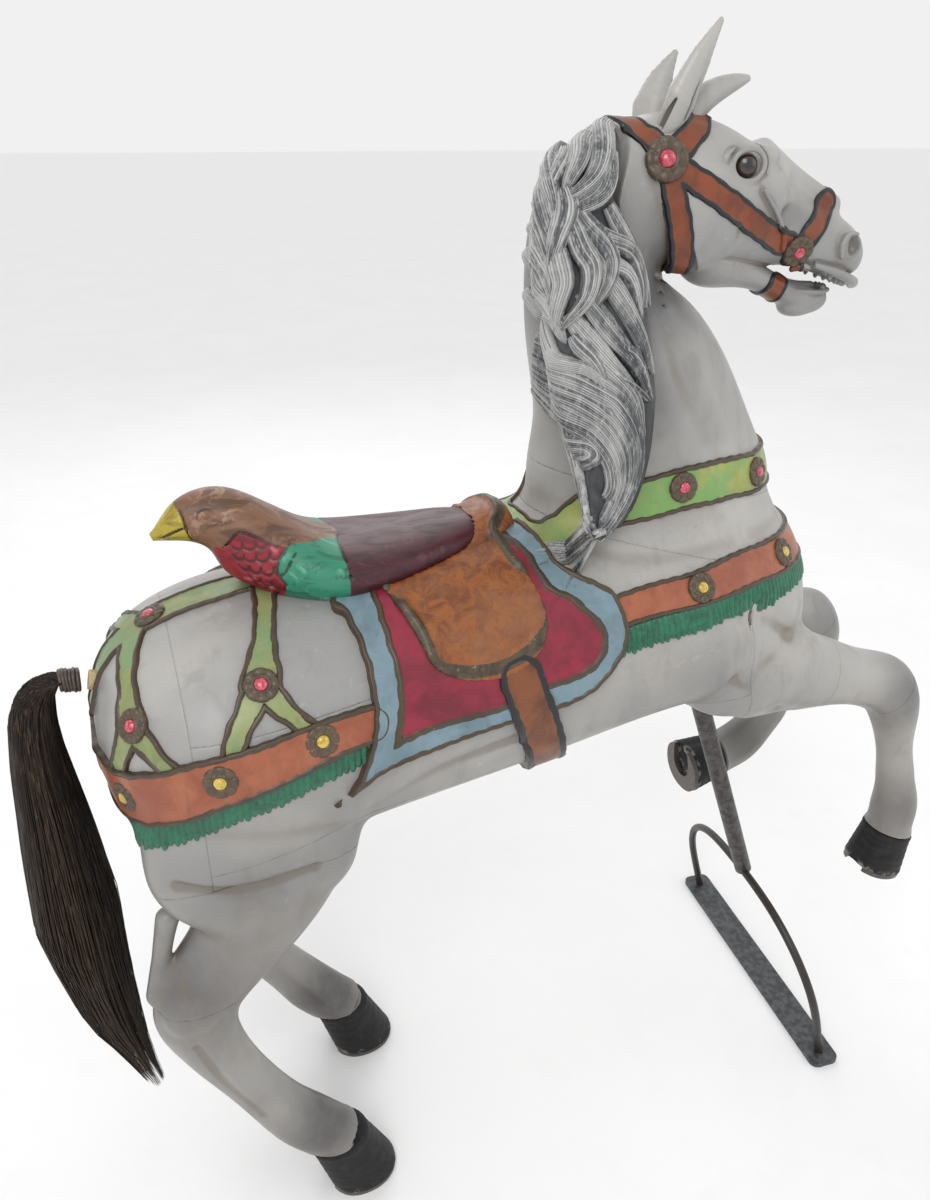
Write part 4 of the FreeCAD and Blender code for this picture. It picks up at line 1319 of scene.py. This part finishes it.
def bird_colours(co):
    """Which paint each part of the bird wears."""
    x, y, z = co[:, 0] / MM, np.abs(co[:, 1]) / MM, co[:, 2] / MM
    paint = np.tile(BROWN, (len(co), 1))
    collar = np.interp(x, [-357, -350, -342, -330, -316, -303], [897, 906, 914, 911, 904, 899])
    red = (z < collar) & (x > -365) & (x < -290)
    paint[red] = SCALE
    edge = np.interp(z, [862, 874, 888, 899], [-306, -313, -311, -302])
    top = np.interp(x, [-302, -290, -276, -243], [899, 900, 897, 888])
    shoulder = (x > edge) & (z < top) & (y > 12)
    paint[shoulder] = GREEN
    wing = x > np.interp(y, [0, 38, 76], [-240, -247, -248])
    paint[wing] = MAROON
    beak = x < np.interp(z, [903, 920, 928, 940], [-384, -387, -389, -396])
    paint[beak] = BEAK
    return paint


# Tail

TAIL_ROOT = (-512, 0, 771)
TAIL_LINE = [(-524, 0, 774), (-537, 0, 774), (-550, 0, 754), (-555, 0, 705), (-553, 0, 620),
             (-551, 0, 530),
             (-548, 0, 440), (-542, 0, 350), (-530, 0, 265), (-516, 0, 190)]
TAIL_HALF = [(11, 10), (28, 22), (58, 40), (78, 48), (80, 46), (74, 44), (66, 40), (56, 36),
             (44, 28), (28, 18)]
CLUMPS = 52
HAIRS = 32


def tail(paints):
    """Real hair: clumps of long strands that hang from a cord at the root."""
    line = smooth_path(places(TAIL_LINE), 20 * MM)
    half = resampled(np.array(TAIL_HALF, float) * MM, len(line))
    hairs = Carving()
    sides = 4
    for _ in range(CLUMPS):
        angle = rng.uniform(0, 2 * math.pi)
        depth = math.sqrt(rng.uniform(0.10, 1.0))
        end = min(1.0, rng.uniform(0.60, 1.08))
        twist = rng.uniform(-0.5, 0.5)
        shade = rng.uniform(0, 1)
        for _ in range(HAIRS):
            own_angle = angle + rng.normal(0, 0.16)
            own_depth = min(0.98, max(0.0, depth + rng.normal(0, 0.09)))
            stop = max(0.3, min(1.0, end + rng.normal(0, 0.035)))
            wave = rng.uniform(0, 2 * math.pi)
            count = 17
            t = np.linspace(0, stop, count)
            at = np.stack([np.interp(t * (len(line) - 1), np.arange(len(line)),
                                     line[:, k]) for k in range(3)], 1)
            size = np.stack([np.interp(t * (len(line) - 1), np.arange(len(line)),
                                       half[:, k]) for k in range(2)], 1)
            gather = 1 - 0.35 * np.clip((t - 0.8 * stop) / 0.2, 0, 1)
            turn = own_angle + twist * t + 0.06 * np.sin(t * 9 + wave)
            ahead = np.cos(turn)
            at[:, 0] += size[:, 1] * np.where(ahead > 0, 0.75, 1.15) * ahead * own_depth * gather
            at[:, 1] += size[:, 0] * np.sin(turn) * own_depth * gather
            thick = 0.62 * MM * np.clip(1.05 - (t / stop)**6, 0.15, 1)
            along = np.gradient(at, axis=0)
            along /= np.linalg.norm(along, axis=1, keepdims=True)
            first = np.cross(along, (0.3, 1, 0.1))
            first /= np.linalg.norm(first, axis=1, keepdims=True)
            second = np.cross(along, first)
            ring = np.linspace(0, 2 * math.pi, sides, endpoint=False)
            tube = at[:, None] + thick[:, None, None] * (np.cos(ring)[None, :, None] * first[:, None]
                                                       + np.sin(ring)[None, :, None] * second[:, None])
            faces = [(i * sides + j, i * sides + (j + 1) % sides, (i + 1) * sides + (j + 1) % sides,
                      (i + 1) * sides + j) for i in range(count - 1) for j in range(sides)]
            faces += [tuple(range(sides))[::-1],
                      tuple((count - 1) * sides + j for j in range(sides))]
            hairs.add(tube, faces, 0, np.repeat(t * 0.5 + 0.5 * shade, sides))
    piece = hairs.build("tail_strands", [paints["hair"]], body="tail")
    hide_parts("tail_hair")


def tail_cord(paints):
    """Turns of waxed cord that bind the hair to its peg."""
    cord = Carving()
    turns, around, sides, thick = 6, 28, 8, 1.9 * MM
    for k in range(turns):
        centre = np.array(TAIL_ROOT) * MM + np.array((-3.2 * k + 3, 0, 0.5 * k - 1)) * MM
        ring = 10.5 * MM + 0.6 * MM * math.sin(k * 2.2)
        points, faces = [], []
        for i in range(around):
            a = 2 * math.pi * i / around
            for j in range(sides):
                b = 2 * math.pi * j / sides
                reach = ring + thick * math.cos(b)
                points.append(centre + np.array((thick * math.sin(b) + 0.5 * MM * math.sin(a + k),
                                                 reach * math.cos(a), reach * math.sin(a))))
        for i in range(around):
            for j in range(sides):
                m, n = (i + 1) % around, (j + 1) % sides
                faces.append((i * sides + j, m * sides + j, m * sides + n, i * sides + n))
        cord.add(points, faces, 0)
    piece = cord.build("tail_cord_turns", [paints["cord"]], body="tail_root")
    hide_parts("tail_binding")


# Looks

class Look:
    """A material under construction, worked out in object coordinates."""

    def __init__(self, name, rough=0.5, coat=0.0):
        self.material = bpy.data.materials.new(name)
        self.material.use_nodes = True
        self.tree = self.material.node_tree
        self.shader = self.tree.nodes["Principled BSDF"]
        self.shader.inputs["Coat Weight"].default_value = coat
        self.shader.inputs["Coat Roughness"].default_value = 0.25
        self.shader.inputs["Roughness"].default_value = rough
        self.place = self.tree.nodes.new("ShaderNodeTexCoord").outputs["Object"]

    def node(self, kind, **settings):
        made = self.tree.nodes.new("ShaderNode" + kind)
        for key, value in settings.items():
            setattr(made, key, value)
        return made

    def feed(self, value, socket):
        if isinstance(value, bpy.types.NodeSocket):
            self.tree.links.new(value, socket)
        elif hasattr(value, "__len__"):
            socket.default_value = (*value, 1)[:len(socket.default_value)]
        else:
            socket.default_value = value

    def stretched(self, stretch, turn=(0, 0, 0)):
        made = self.node("Mapping")
        self.feed(self.place, made.inputs["Vector"])
        made.inputs["Rotation"].default_value = turn
        made.inputs["Scale"].default_value = stretch
        return made.outputs["Vector"]

    def noise(self, scale, detail=5.0, rough=0.6, stretch=None, warp=0.0, turn=(0, 0, 0)):
        made = self.node("TexNoise")
        self.feed(self.place if stretch is None else self.stretched(stretch, turn),
                  made.inputs["Vector"])
        made.inputs["Scale"].default_value = scale
        made.inputs["Detail"].default_value = detail
        made.inputs["Roughness"].default_value = rough
        made.inputs["Distortion"].default_value = warp
        return made.outputs["Fac"]

    def cracks(self, scale, stretch=None):
        made = self.node("TexVoronoi", feature="DISTANCE_TO_EDGE")
        self.feed(self.place if stretch is None else self.stretched(stretch), made.inputs["Vector"])
        made.inputs["Scale"].default_value = scale
        return made.outputs["Distance"]

    def number(self, name):
        return self.node("Attribute", attribute_name=name).outputs["Fac"]

    def colour(self, name):
        return self.node("Attribute", attribute_name=name).outputs["Color"]

    def edges(self):
        return self.node("NewGeometry").outputs["Pointiness"]

    def between(self, value, low, high, to_low=0.0, to_high=1.0):
        made = self.node("MapRange", interpolation_type="SMOOTHSTEP")
        for key, item in (("Value", value), ("From Min", low), ("From Max", high),
                          ("To Min", to_low), ("To Max", to_high)):
            self.feed(item, made.inputs[key])
        return made.outputs["Result"]

    def sum(self, operation, a, b):
        made = self.node("Math", operation=operation)
        self.feed(a, made.inputs[0])
        self.feed(b, made.inputs[1])
        return made.outputs[0]

    def times(self, a, b):
        return self.sum("MULTIPLY", a, b)

    def blend(self, share, a, b):
        made = self.node("Mix", data_type="RGBA")
        self.feed(share, made.inputs["Factor"])
        self.feed(a, made.inputs["A"])
        self.feed(b, made.inputs["B"])
        return made.outputs["Result"]

    def done(self, colour, rough, bump=None, distance=0.4 * MM, strength=0.5):
        self.feed(colour, self.shader.inputs["Base Color"])
        self.feed(rough, self.shader.inputs["Roughness"])
        if bump is not None:
            made = self.node("Bump")
            made.inputs["Distance"].default_value = distance
            made.inputs["Strength"].default_value = strength
            self.feed(bump, made.inputs["Height"])
            self.feed(made.outputs["Normal"], self.shader.inputs["Normal"])
        return self.material


HOLLOW_DARK = (0.16, 0.13, 0.10)
BEAD = (0.062, 0.040, 0.022)


def body_look():
    look = Look("body_paint", coat=0.12)
    brush = look.noise(34, 5, 0.65, (1, 1, 0.35), 0.4)
    clouds = look.noise(5, 3, 0.5)
    fine = look.noise(420, 3)
    base = look.blend(look.between(clouds, 0.35, 0.68), (0.43, 0.415, 0.39), (0.29, 0.288, 0.282))
    base = look.blend(look.times(look.between(brush, 0.50, 0.72), 0.30), base, (0.18, 0.178, 0.172))
    base = look.blend(look.times(look.between(look.noise(70, 6, 0.7), 0.60, 0.72), 0.35), base,
                      (0.52, 0.50, 0.47))
    misted = look.times(look.number("shade"), look.between(look.noise(26, 4), 0.2, 0.65, 0.75, 1.0))
    base = look.blend(misted, base, (0.055, 0.055, 0.060))
    # Painted shade under the body and on the lower legs, broken up by noise.
    painted_low_shade = look.times(look.number("grime_and_low_shade"), look.between(look.noise(15, 5, 0.6), 0.25, 0.7, 0.75,
                                                         1.0))
    base = look.blend(look.times(painted_low_shade, 0.85), base, (0.175, 0.155, 0.135))
    # The hollows of the carving are painted darker.
    hollow = look.between(look.number("hollow"), 0.56, 0.85)
    base = look.blend(look.times(hollow, 0.6), base, HOLLOW_DARK)
    # Random patches of dirt.
    grime_and_low_shade = look.times(look.between(look.noise(11, 7, 0.72), 0.53, 0.75), 0.30)
    base = look.blend(grime_and_low_shade, base, (0.30, 0.26, 0.21))
    crack = look.between(look.cracks(130), 0.0, 0.035, 1.0, 0.0)
    crack = look.times(crack, look.between(look.noise(9, 4), 0.52, 0.66))
    base = look.blend(look.times(crack, 0.35), base, (0.18, 0.15, 0.12))
    rough = look.between(brush, 0.3, 0.7, 0.34, 0.52)
    bump = look.sum("ADD", look.times(brush, 0.8),
                    look.sum("SUBTRACT", look.times(fine, 0.2), look.times(crack, 0.5)))
    return look.done(base, rough, bump, 0.5 * MM, 0.45)


def trim_look(name, faces, bead=BEAD, width=5.5, streak=None, coat=0.15, mottle=0.35):
    """Paint for a relief: a face colour inside each edge, and the rolled edges."""
    look = Look(name, coat=coat)
    blotch = look.noise(22, 6, 0.65, None, 0.5)
    brush = look.noise(60, 5, 0.6, (1, 1, 0.3), 0.3)
    base = None
    for k, (light, dark) in enumerate(faces):
        shade = look.blend(look.between(blotch, 0.36, 0.66), light, dark)
        shade = look.blend(look.times(look.between(brush, 0.50, 0.75), mottle), shade,
                           tuple(0.45 * c for c in dark))
        base = shade if base is None else look.blend(look.between(look.number(f"edge_{k + 1}"), 0.2,
                                                                  -0.2), base, shade)
    if streak:
        base = look.blend(look.times(look.between(look.noise(13, 3), 0.47, 0.60), 0.75), base,
                          streak)
    # Random specks of dirt.
    grime_and_low_shade = look.times(look.between(look.noise(90, 6, 0.75), 0.60, 0.72), 0.5)
    base = look.blend(grime_and_low_shade, base, (0.10, 0.075, 0.05))
    wear = look.between(look.noise(150, 6, 0.7), 0.63, 0.69)
    for k in range(len(faces)):
        edge = look.number(f"edge_{k + 1}")
        ragged = look.sum("ADD", edge, look.between(look.noise(120, 4), 0.3, 0.7, -0.45, 0.45))
        on = look.times(look.between(ragged, -width - 0.5, -width + 0.1),
                        look.between(ragged, 1.4, 0.9))
        rolled = look.blend(look.times(wear, look.between(edge, -width * 0.75, -width * 0.4)), bead,
                            tuple(3.2 * c + 0.05 for c in bead))
        rolled = look.blend(look.between(blotch, 0.4, 0.7, 0.0, 0.5), rolled,
                            tuple(0.4 * c for c in bead))
        base = look.blend(on, base, rolled)
    bump = look.sum("ADD", brush, look.times(look.noise(380, 3), 0.3))
    return look.done(base, look.between(blotch, 0.3, 0.7, 0.30, 0.50), bump, 0.4 * MM, 0.5)


def mane_look():
    """Black in the grooves, white along the crests, and each strand its own grey."""
    look = Look("mane_paint", coat=0.08)
    halves = look.times(look.number("run"), 0.5)
    crest = look.between(look.sum("FRACT", halves, 0.0), 0.04, 0.46)
    own = look.node("TexWhiteNoise", noise_dimensions="1D")
    look.feed(look.sum("FLOOR", halves, 0.0), own.inputs["W"])
    own = own.outputs["Value"]
    patches = look.noise(13, 4, 0.6, (1, 1, 0.6), 0.6)
    fine = look.noise(300, 4, 0.7, (1, 1, 0.3))
    tone = look.sum("ADD", look.times(own, 0.55), look.between(patches, 0.34, 0.66, 0.0, 0.45))
    light = look.blend(look.between(tone, 0.25, 0.85), (0.44, 0.44, 0.43), (0.08, 0.084, 0.092))
    dark = look.blend(look.between(patches, 0.35, 0.65), (0.085, 0.088, 0.095),
                      (0.008, 0.009, 0.012))
    base = look.blend(crest, dark, light)
    base = look.blend(look.between(fine, 0.48, 0.62, 0.0, 0.4), base,
                      look.blend(crest, (0.012, 0.013, 0.016), (0.60, 0.60, 0.58)))
    return look.done(base, look.between(patches, 0.3, 0.7, 0.34, 0.52), fine, 0.4 * MM, 0.5)


def mottled_look(name, colours, scale=30, rough=(0.30, 0.50), coat=0.2, stretch=None, bump=0.5):
    """A plain painted or worn surface in three tones."""
    look = Look(name, coat=coat)
    first = look.noise(scale, 7, 0.7, stretch, 0.6)
    second = look.noise(scale * 4.3, 5, 0.65, stretch)
    base = look.blend(look.between(first, 0.36, 0.64), colours[0], colours[1])
    base = look.blend(look.between(second, 0.52, 0.70, 0.0, 0.7), base, colours[2])
    worn = look.between(look.edges(), 0.54, 0.62, 0.0, 0.5)
    base = look.blend(look.times(worn, look.between(second, 0.4, 0.6)), base,
                      tuple(min(0.8, 2.2 * c + 0.06) for c in colours[0]))
    return look.done(base, look.between(first, 0.3, 0.7, *rough),
                     look.sum("ADD", first, look.times(second, 0.4)),
                     0.4 * MM, bump)


def saddle_look():
    look = Look("saddle_paint", coat=0.05)
    blotch = look.noise(48, 8, 0.75, None, 0.8)
    clouds = look.noise(12, 4, 0.6)
    base = look.blend(look.between(blotch, 0.38, 0.62), (0.29, 0.090, 0.018), (0.15, 0.040, 0.009))
    base = look.blend(look.between(clouds, 0.45, 0.68, 0.0, 0.6), base, (0.27, 0.105, 0.040))
    base = look.blend(look.between(look.noise(150, 6, 0.7), 0.58, 0.68, 0.0, 0.5), base,
                      (0.10, 0.03, 0.01))
    hollow = look.between(look.number("hollow"), 0.58, 0.85, 0.0, 0.7)
    base = look.blend(hollow, base, (0.06, 0.035, 0.02))
    ragged = look.sum("ADD", look.number("rim"),
                      look.between(look.noise(90, 4), 0.3, 0.7, -0.5, 0.5))
    rim = look.blend(look.between(blotch, 0.40, 0.62), (0.085, 0.060, 0.032), (0.035, 0.024, 0.013))
    rim = look.blend(look.between(look.noise(120, 6, 0.7), 0.60, 0.68, 0.0, 0.8), rim,
                     (0.30, 0.25, 0.18))
    base = look.blend(look.between(ragged, 7.0, 6.2), base, rim)
    return look.done(base, look.between(blotch, 0.3, 0.7, 0.28, 0.48),
                     look.sum("ADD", blotch, look.noise(300, 3)),
                     0.4 * MM, 0.5)


def bird_look():
    look = Look("bird_paint", coat=0.08)
    strokes = look.noise(60, 5, 0.65, (0.35, 1, 1), 0.8)
    swirl = look.noise(38, 4, 0.6, None, 1.6)
    base = look.colour("paint")
    dark = look.node("HueSaturation")
    dark.inputs["Value"].default_value = 0.32
    look.feed(base, dark.inputs["Color"])
    pale = look.node("HueSaturation")
    pale.inputs["Value"].default_value = 1.9
    pale.inputs["Saturation"].default_value = 0.8
    look.feed(base, pale.inputs["Color"])
    base = look.blend(look.between(strokes, 0.46, 0.64, 0.0, 0.75), base, dark.outputs["Color"])
    base = look.blend(look.between(swirl, 0.56, 0.70, 0.0, 0.7), base, pale.outputs["Color"])
    hollow = look.between(look.number("hollow"), 0.56, 0.80, 0.0, 0.85)
    base = look.blend(hollow, base, (0.035, 0.012, 0.010))
    return look.done(base, look.between(strokes, 0.3, 0.7, 0.34, 0.52), strokes, 0.3 * MM, 0.4)


def glass_look(name, deep, bright):
    look = Look(name, rough=0.08, coat=0.6)
    seed = look.noise(180, 3, 0.5, None, 1.0)
    base = look.blend(look.between(seed, 0.35, 0.65), deep, bright)
    specks = look.between(look.noise(420, 2), 0.62, 0.70)
    base = look.blend(look.times(specks, 0.7), base, tuple(min(0.9, c + 0.35) for c in bright))
    look.shader.inputs["Specular IOR Level"].default_value = 0.7
    return look.done(base, look.between(seed, 0.3, 0.7, 0.05, 0.18), seed, 0.2 * MM, 0.3)


def hair_look():
    look = Look("horsehair")
    shade = look.number("run")
    strands = look.noise(300, 4, 0.6, (1, 1, 0.03))
    base = look.blend(look.between(shade, 0.1, 0.95), (0.012, 0.009, 0.008), (0.045, 0.029, 0.019))
    base = look.blend(look.between(strands, 0.50, 0.68, 0.0, 0.8), base, (0.085, 0.060, 0.042))
    look.shader.inputs["Specular IOR Level"].default_value = 0.2
    return look.done(base, look.between(strands, 0.3, 0.7, 0.50, 0.70), strands, 0.1 * MM, 0.3)


def hoof_look():
    look = Look("hoof_paint")
    look.shader.inputs["Specular IOR Level"].default_value = 0.25
    rings = look.noise(55, 4, 0.6, (0.3, 0.3, 3))
    chips = look.between(look.noise(60, 7, 0.75), 0.50, 0.60)
    sole = look.between(look.number("run"), 0.86, 1.0)
    base = look.blend(look.between(rings, 0.40, 0.64), (0.010, 0.010, 0.012), (0.020, 0.020, 0.021))
    base = look.blend(look.times(look.sum("MAXIMUM", look.times(sole, 0.85), 0.03), chips), base,
                      (0.32, 0.29, 0.26))
    return look.done(base, look.between(rings, 0.3, 0.7, 0.50, 0.70), look.sum("ADD", rings, chips),
                     0.5 * MM, 0.6)


def make_paints():
    green = ((0.28, 0.31, 0.125), (0.19, 0.24, 0.09))
    orange = ((0.36, 0.110, 0.050), (0.26, 0.065, 0.028))
    return {
        "body": body_look(),
        "green strap": trim_look("green_strap_paint", [green], streak=(0.16, 0.27, 0.12)),
        "collar": trim_look("collar_paint", [((0.34, 0.36, 0.09), (0.22, 0.28, 0.09))],
                            streak=(0.14, 0.33, 0.10)),
        "orange strap": trim_look("orange_strap_paint", [orange]),
        "blanket": trim_look("blanket_paint", [((0.18, 0.27, 0.32), (0.13, 0.20, 0.235)),
                                               ((0.27, 0.010, 0.035), (0.15, 0.005, 0.018))]),
        "girth": trim_look("girth_paint", [((0.20, 0.060, 0.016), (0.10, 0.028, 0.008))],
                           (0.010, 0.010, 0.012), 8.0),
        "bridle": trim_look("bridle_paint", [((0.22, 0.050, 0.012), (0.13, 0.026, 0.007))],
                            (0.010, 0.011, 0.014), 4.6),
        "fringe": mottled_look("fringe_paint",
                               [(0.004, 0.085, 0.042), (0.010, 0.15, 0.075), (0.002, 0.030, 0.016)], 60),
        "rosette": mottled_look("rosette_paint",
                                [(0.062, 0.040, 0.022), (0.10, 0.070, 0.038), (0.022, 0.014, 0.008)], 90),
        "mane": mane_look(),
        "saddle": saddle_look(),
        "bird": bird_look(),
        "hoof": hoof_look(),
        "hair": hair_look(),
        "red_glass": glass_look("red_glass", (0.36, 0.010, 0.035), (0.60, 0.075, 0.12)),
        "yellow_glass": glass_look("yellow_glass", (0.40, 0.24, 0.015), (0.62, 0.45, 0.05)),
        "cord": mottled_look("cord_wax", [(0.045, 0.030, 0.022), (0.080, 0.055, 0.038),
                                          (0.02, 0.013, 0.010)], 240),
        "wood": mottled_look("bare_wood", [(0.42, 0.27, 0.14), (0.33, 0.19, 0.09),
                                           (0.20, 0.11, 0.05)], 26,
                             (0.5, 0.7), 0.0, (1, 1, 0.12)),
        "shoe": mottled_look("shoe_iron", [(0.040, 0.036, 0.033), (0.085, 0.062, 0.048),
                                           (0.16, 0.14, 0.13)], 70),
        "steel": mottled_look("stand_enamel", [(0.022, 0.017, 0.014), (0.016, 0.012, 0.010),
                                               (0.034, 0.027, 0.022)], 24,
                              (0.34, 0.52), 0.1),
        "bar": mottled_look("bar_enamel", [(0.036, 0.038, 0.042), (0.028, 0.030, 0.034),
                                           (0.050, 0.050, 0.052)], 24,
                            (0.34, 0.52), 0.1),
    }


def eye_look():
    """Brown glass with a dark pupil, painted where each eye looks out."""
    look = Look("eye_glass", rough=0.05, coat=0.8)
    share = look.number("pupil")
    streaks = look.noise(500, 4, 0.6)
    base = look.blend(look.between(share, 5.2, 6.0), (0.004, 0.003, 0.003), (0.022, 0.009, 0.005))
    base = look.blend(look.times(look.between(streaks, 0.5, 0.65), look.between(share, 5.6, 7.0)),
                      base, (0.050, 0.022, 0.010))
    base = look.blend(look.between(share, 10.0, 11.5), base, (0.012, 0.008, 0.006))
    return look.done(base, look.between(streaks, 0.3, 0.7, 0.03, 0.08), streaks, 0.05 * MM, 0.1)


def eyes():
    look = eye_look()
    for side, name in ((RIGHT, "right_eye"), (LEFT, "left_eye")):
        co, _ = node_mesh([name], UNTURN)
        centre = (co.min(0) + co.max(0)) / 2
        radius = 13 * MM
        around, rings = 48, 24
        points, faces, pupil = [], [], []
        for i in range(rings + 1):
            tilt = math.pi * i / rings
            for j in range(around):
                a = 2 * math.pi * j / around
                points.append(centre + radius * np.array((math.sin(tilt) * math.cos(a),
                                                          side * math.cos(tilt),
                                                          math.sin(tilt) * math.sin(a))))
                pupil.append(radius / MM * math.sin(tilt) if tilt < math.pi / 2 else 13)
        for i in range(rings):
            for j in range(around):
                k = (j + 1) % around
                faces.append((i * around + j, i * around + k, (i + 1) * around + k,
                              (i + 1) * around + j))
        made = new_object(name + "_ball", points, faces)
        add_number(made, "pupil", pupil)
        made.data.transform(TURN)
        made.data.materials.append(look)
        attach(made, "horse")
        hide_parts(name)


# Camera, light and floor

def studio():
    scene = bpy.context.scene
    camera = bpy.data.cameras.new("camera")
    camera.lens = 27.9
    camera.sensor_width = 36
    view = bpy.data.objects.new("camera", camera)
    yaw = math.radians(21.897)
    pitch = math.radians(26.516)
    view.location = (-0.448, -0.872, 1.25)
    forward = Vector((math.sin(yaw) * math.cos(pitch), math.cos(yaw) * math.cos(pitch),
                      -math.sin(pitch)))
    view.rotation_mode = "QUATERNION"
    view.rotation_quaternion = forward.to_track_quat("-Z", "Y")
    scene.collection.objects.link(view)
    scene.camera = view
    for name, place, size, power in (
            ("key", (-1.6, -2.4, 3.2), 2.0, 46),
            ("fill", (2.6, -1.8, 2.0), 2.2, 8),
            ("back", (0.4, 2.8, 2.8), 2.2, 22)):
        lamp = bpy.data.lights.new(name, "AREA")
        lamp.size = size
        lamp.energy = power
        spot = bpy.data.objects.new(name, lamp)
        spot.location = place
        spot.rotation_mode = "QUATERNION"
        spot.rotation_quaternion = (Vector((0, 0, 0.7)) - Vector(place)).to_track_quat("-Z", "Y")
        scene.collection.objects.link(spot)
    world = bpy.data.worlds.new("studio")
    world.use_nodes = True
    world.node_tree.nodes["Background"].inputs["Color"].default_value = (1, 1, 1, 1)
    world.node_tree.nodes["Background"].inputs["Strength"].default_value = 0.88
    scene.world = world
    scene.view_settings.view_transform = "Standard"
    floor = new_object("floor", [(-90, -90, 0), (90, -90, 0), (90, 90, 0), (-90, 90, 0)],
                       [(0, 1, 2, 3)], False)
    floor.data.materials.append(mottled_look("floor", [(0.90, 0.90, 0.90), (0.92, 0.92, 0.92),
                                                       (0.89, 0.89, 0.89)], 2, (0.6, 0.8), 0.0, None, 0.05))


def head(paints):
    """The head, its ears, quiff and bridle, turned to where the horse looks."""
    wood = head_piece()
    skin = Skin(wood)
    co = vertices(wood)
    quads = np.array([list(f.vertices) for f in wood.data.polygons if len(f.vertices) == 4])
    bridle((co, quads), skin, paints)
    cut_off(wood, HEAD_SEAM[0], -HEAD_SEAM[1])
    near = ear_piece(RIGHT, EAR_TIPS[RIGHT], "right_ear_wood")
    far = ear_piece(LEFT, EAR_TIPS[LEFT], "left_ear_wood")
    quiff = forelock()
    add_number(quiff, "shade", np.zeros(len(quiff.data.vertices)))
    add_number(quiff, "hollow", np.zeros(len(quiff.data.vertices)))
    for piece, node, turn in ((wood, "head_block", True), (near, "right_ear", True),
                              (far, "left_ear", True),
                              (quiff, "forelock_block", False)):
        if turn:
            piece.data.transform(TURN)
        piece.data.materials.append(paints["body"])
        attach(piece, "horse")
        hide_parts(node)
    return skin


EAR_TIPS = {RIGHT: (139, -34, 1343), LEFT: (126, 34, 1322)}


def plain_nodes(paints):
    """Nodes that show as they were designed get their looks."""
    for name, key in PLAIN.items():
        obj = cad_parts[name]
        obj.data.materials.clear()
        obj.data.materials.append(paints[key])


PLAIN = {"head_dowels": "wood", "hip_dowels": "wood", "knee_and_hock_dowels": "wood",
         "neck_dowels": "wood",
         "shoulder_dowels": "wood", "tail_peg": "wood", "pole": "steel", "stand_bow": "steel", "base_bar": "bar",
         "right_hind_shoe": "shoe", "left_hind_shoe": "shoe", "right_fore_shoe": "shoe", "left_fore_shoe": "shoe"}

paints = make_paints()
clay = body_clay()
body_points, body_faces = clay.mesh()
body_quads = np.array(body_faces)
whole = new_object("whole", body_points, body_faces)
body_skin = Skin(whole)
bpy.data.objects.remove(whole)
wood_pieces(clay, paints)
for key, hoof in HOOVES.items():
    hoof_piece(hoof, f"{SIDE_NAMES[key[0]]}_{key[1]}_hoof", paints)
trappings((body_points, body_quads), body_skin, paints)
head_skin = head(paints)
jewels(body_skin, head_skin, paints)
mane(paints)
saddle(paints)
bird(paints)
eyes()
tail(paints)
tail_cord(paints)
plain_nodes(paints)
studio()
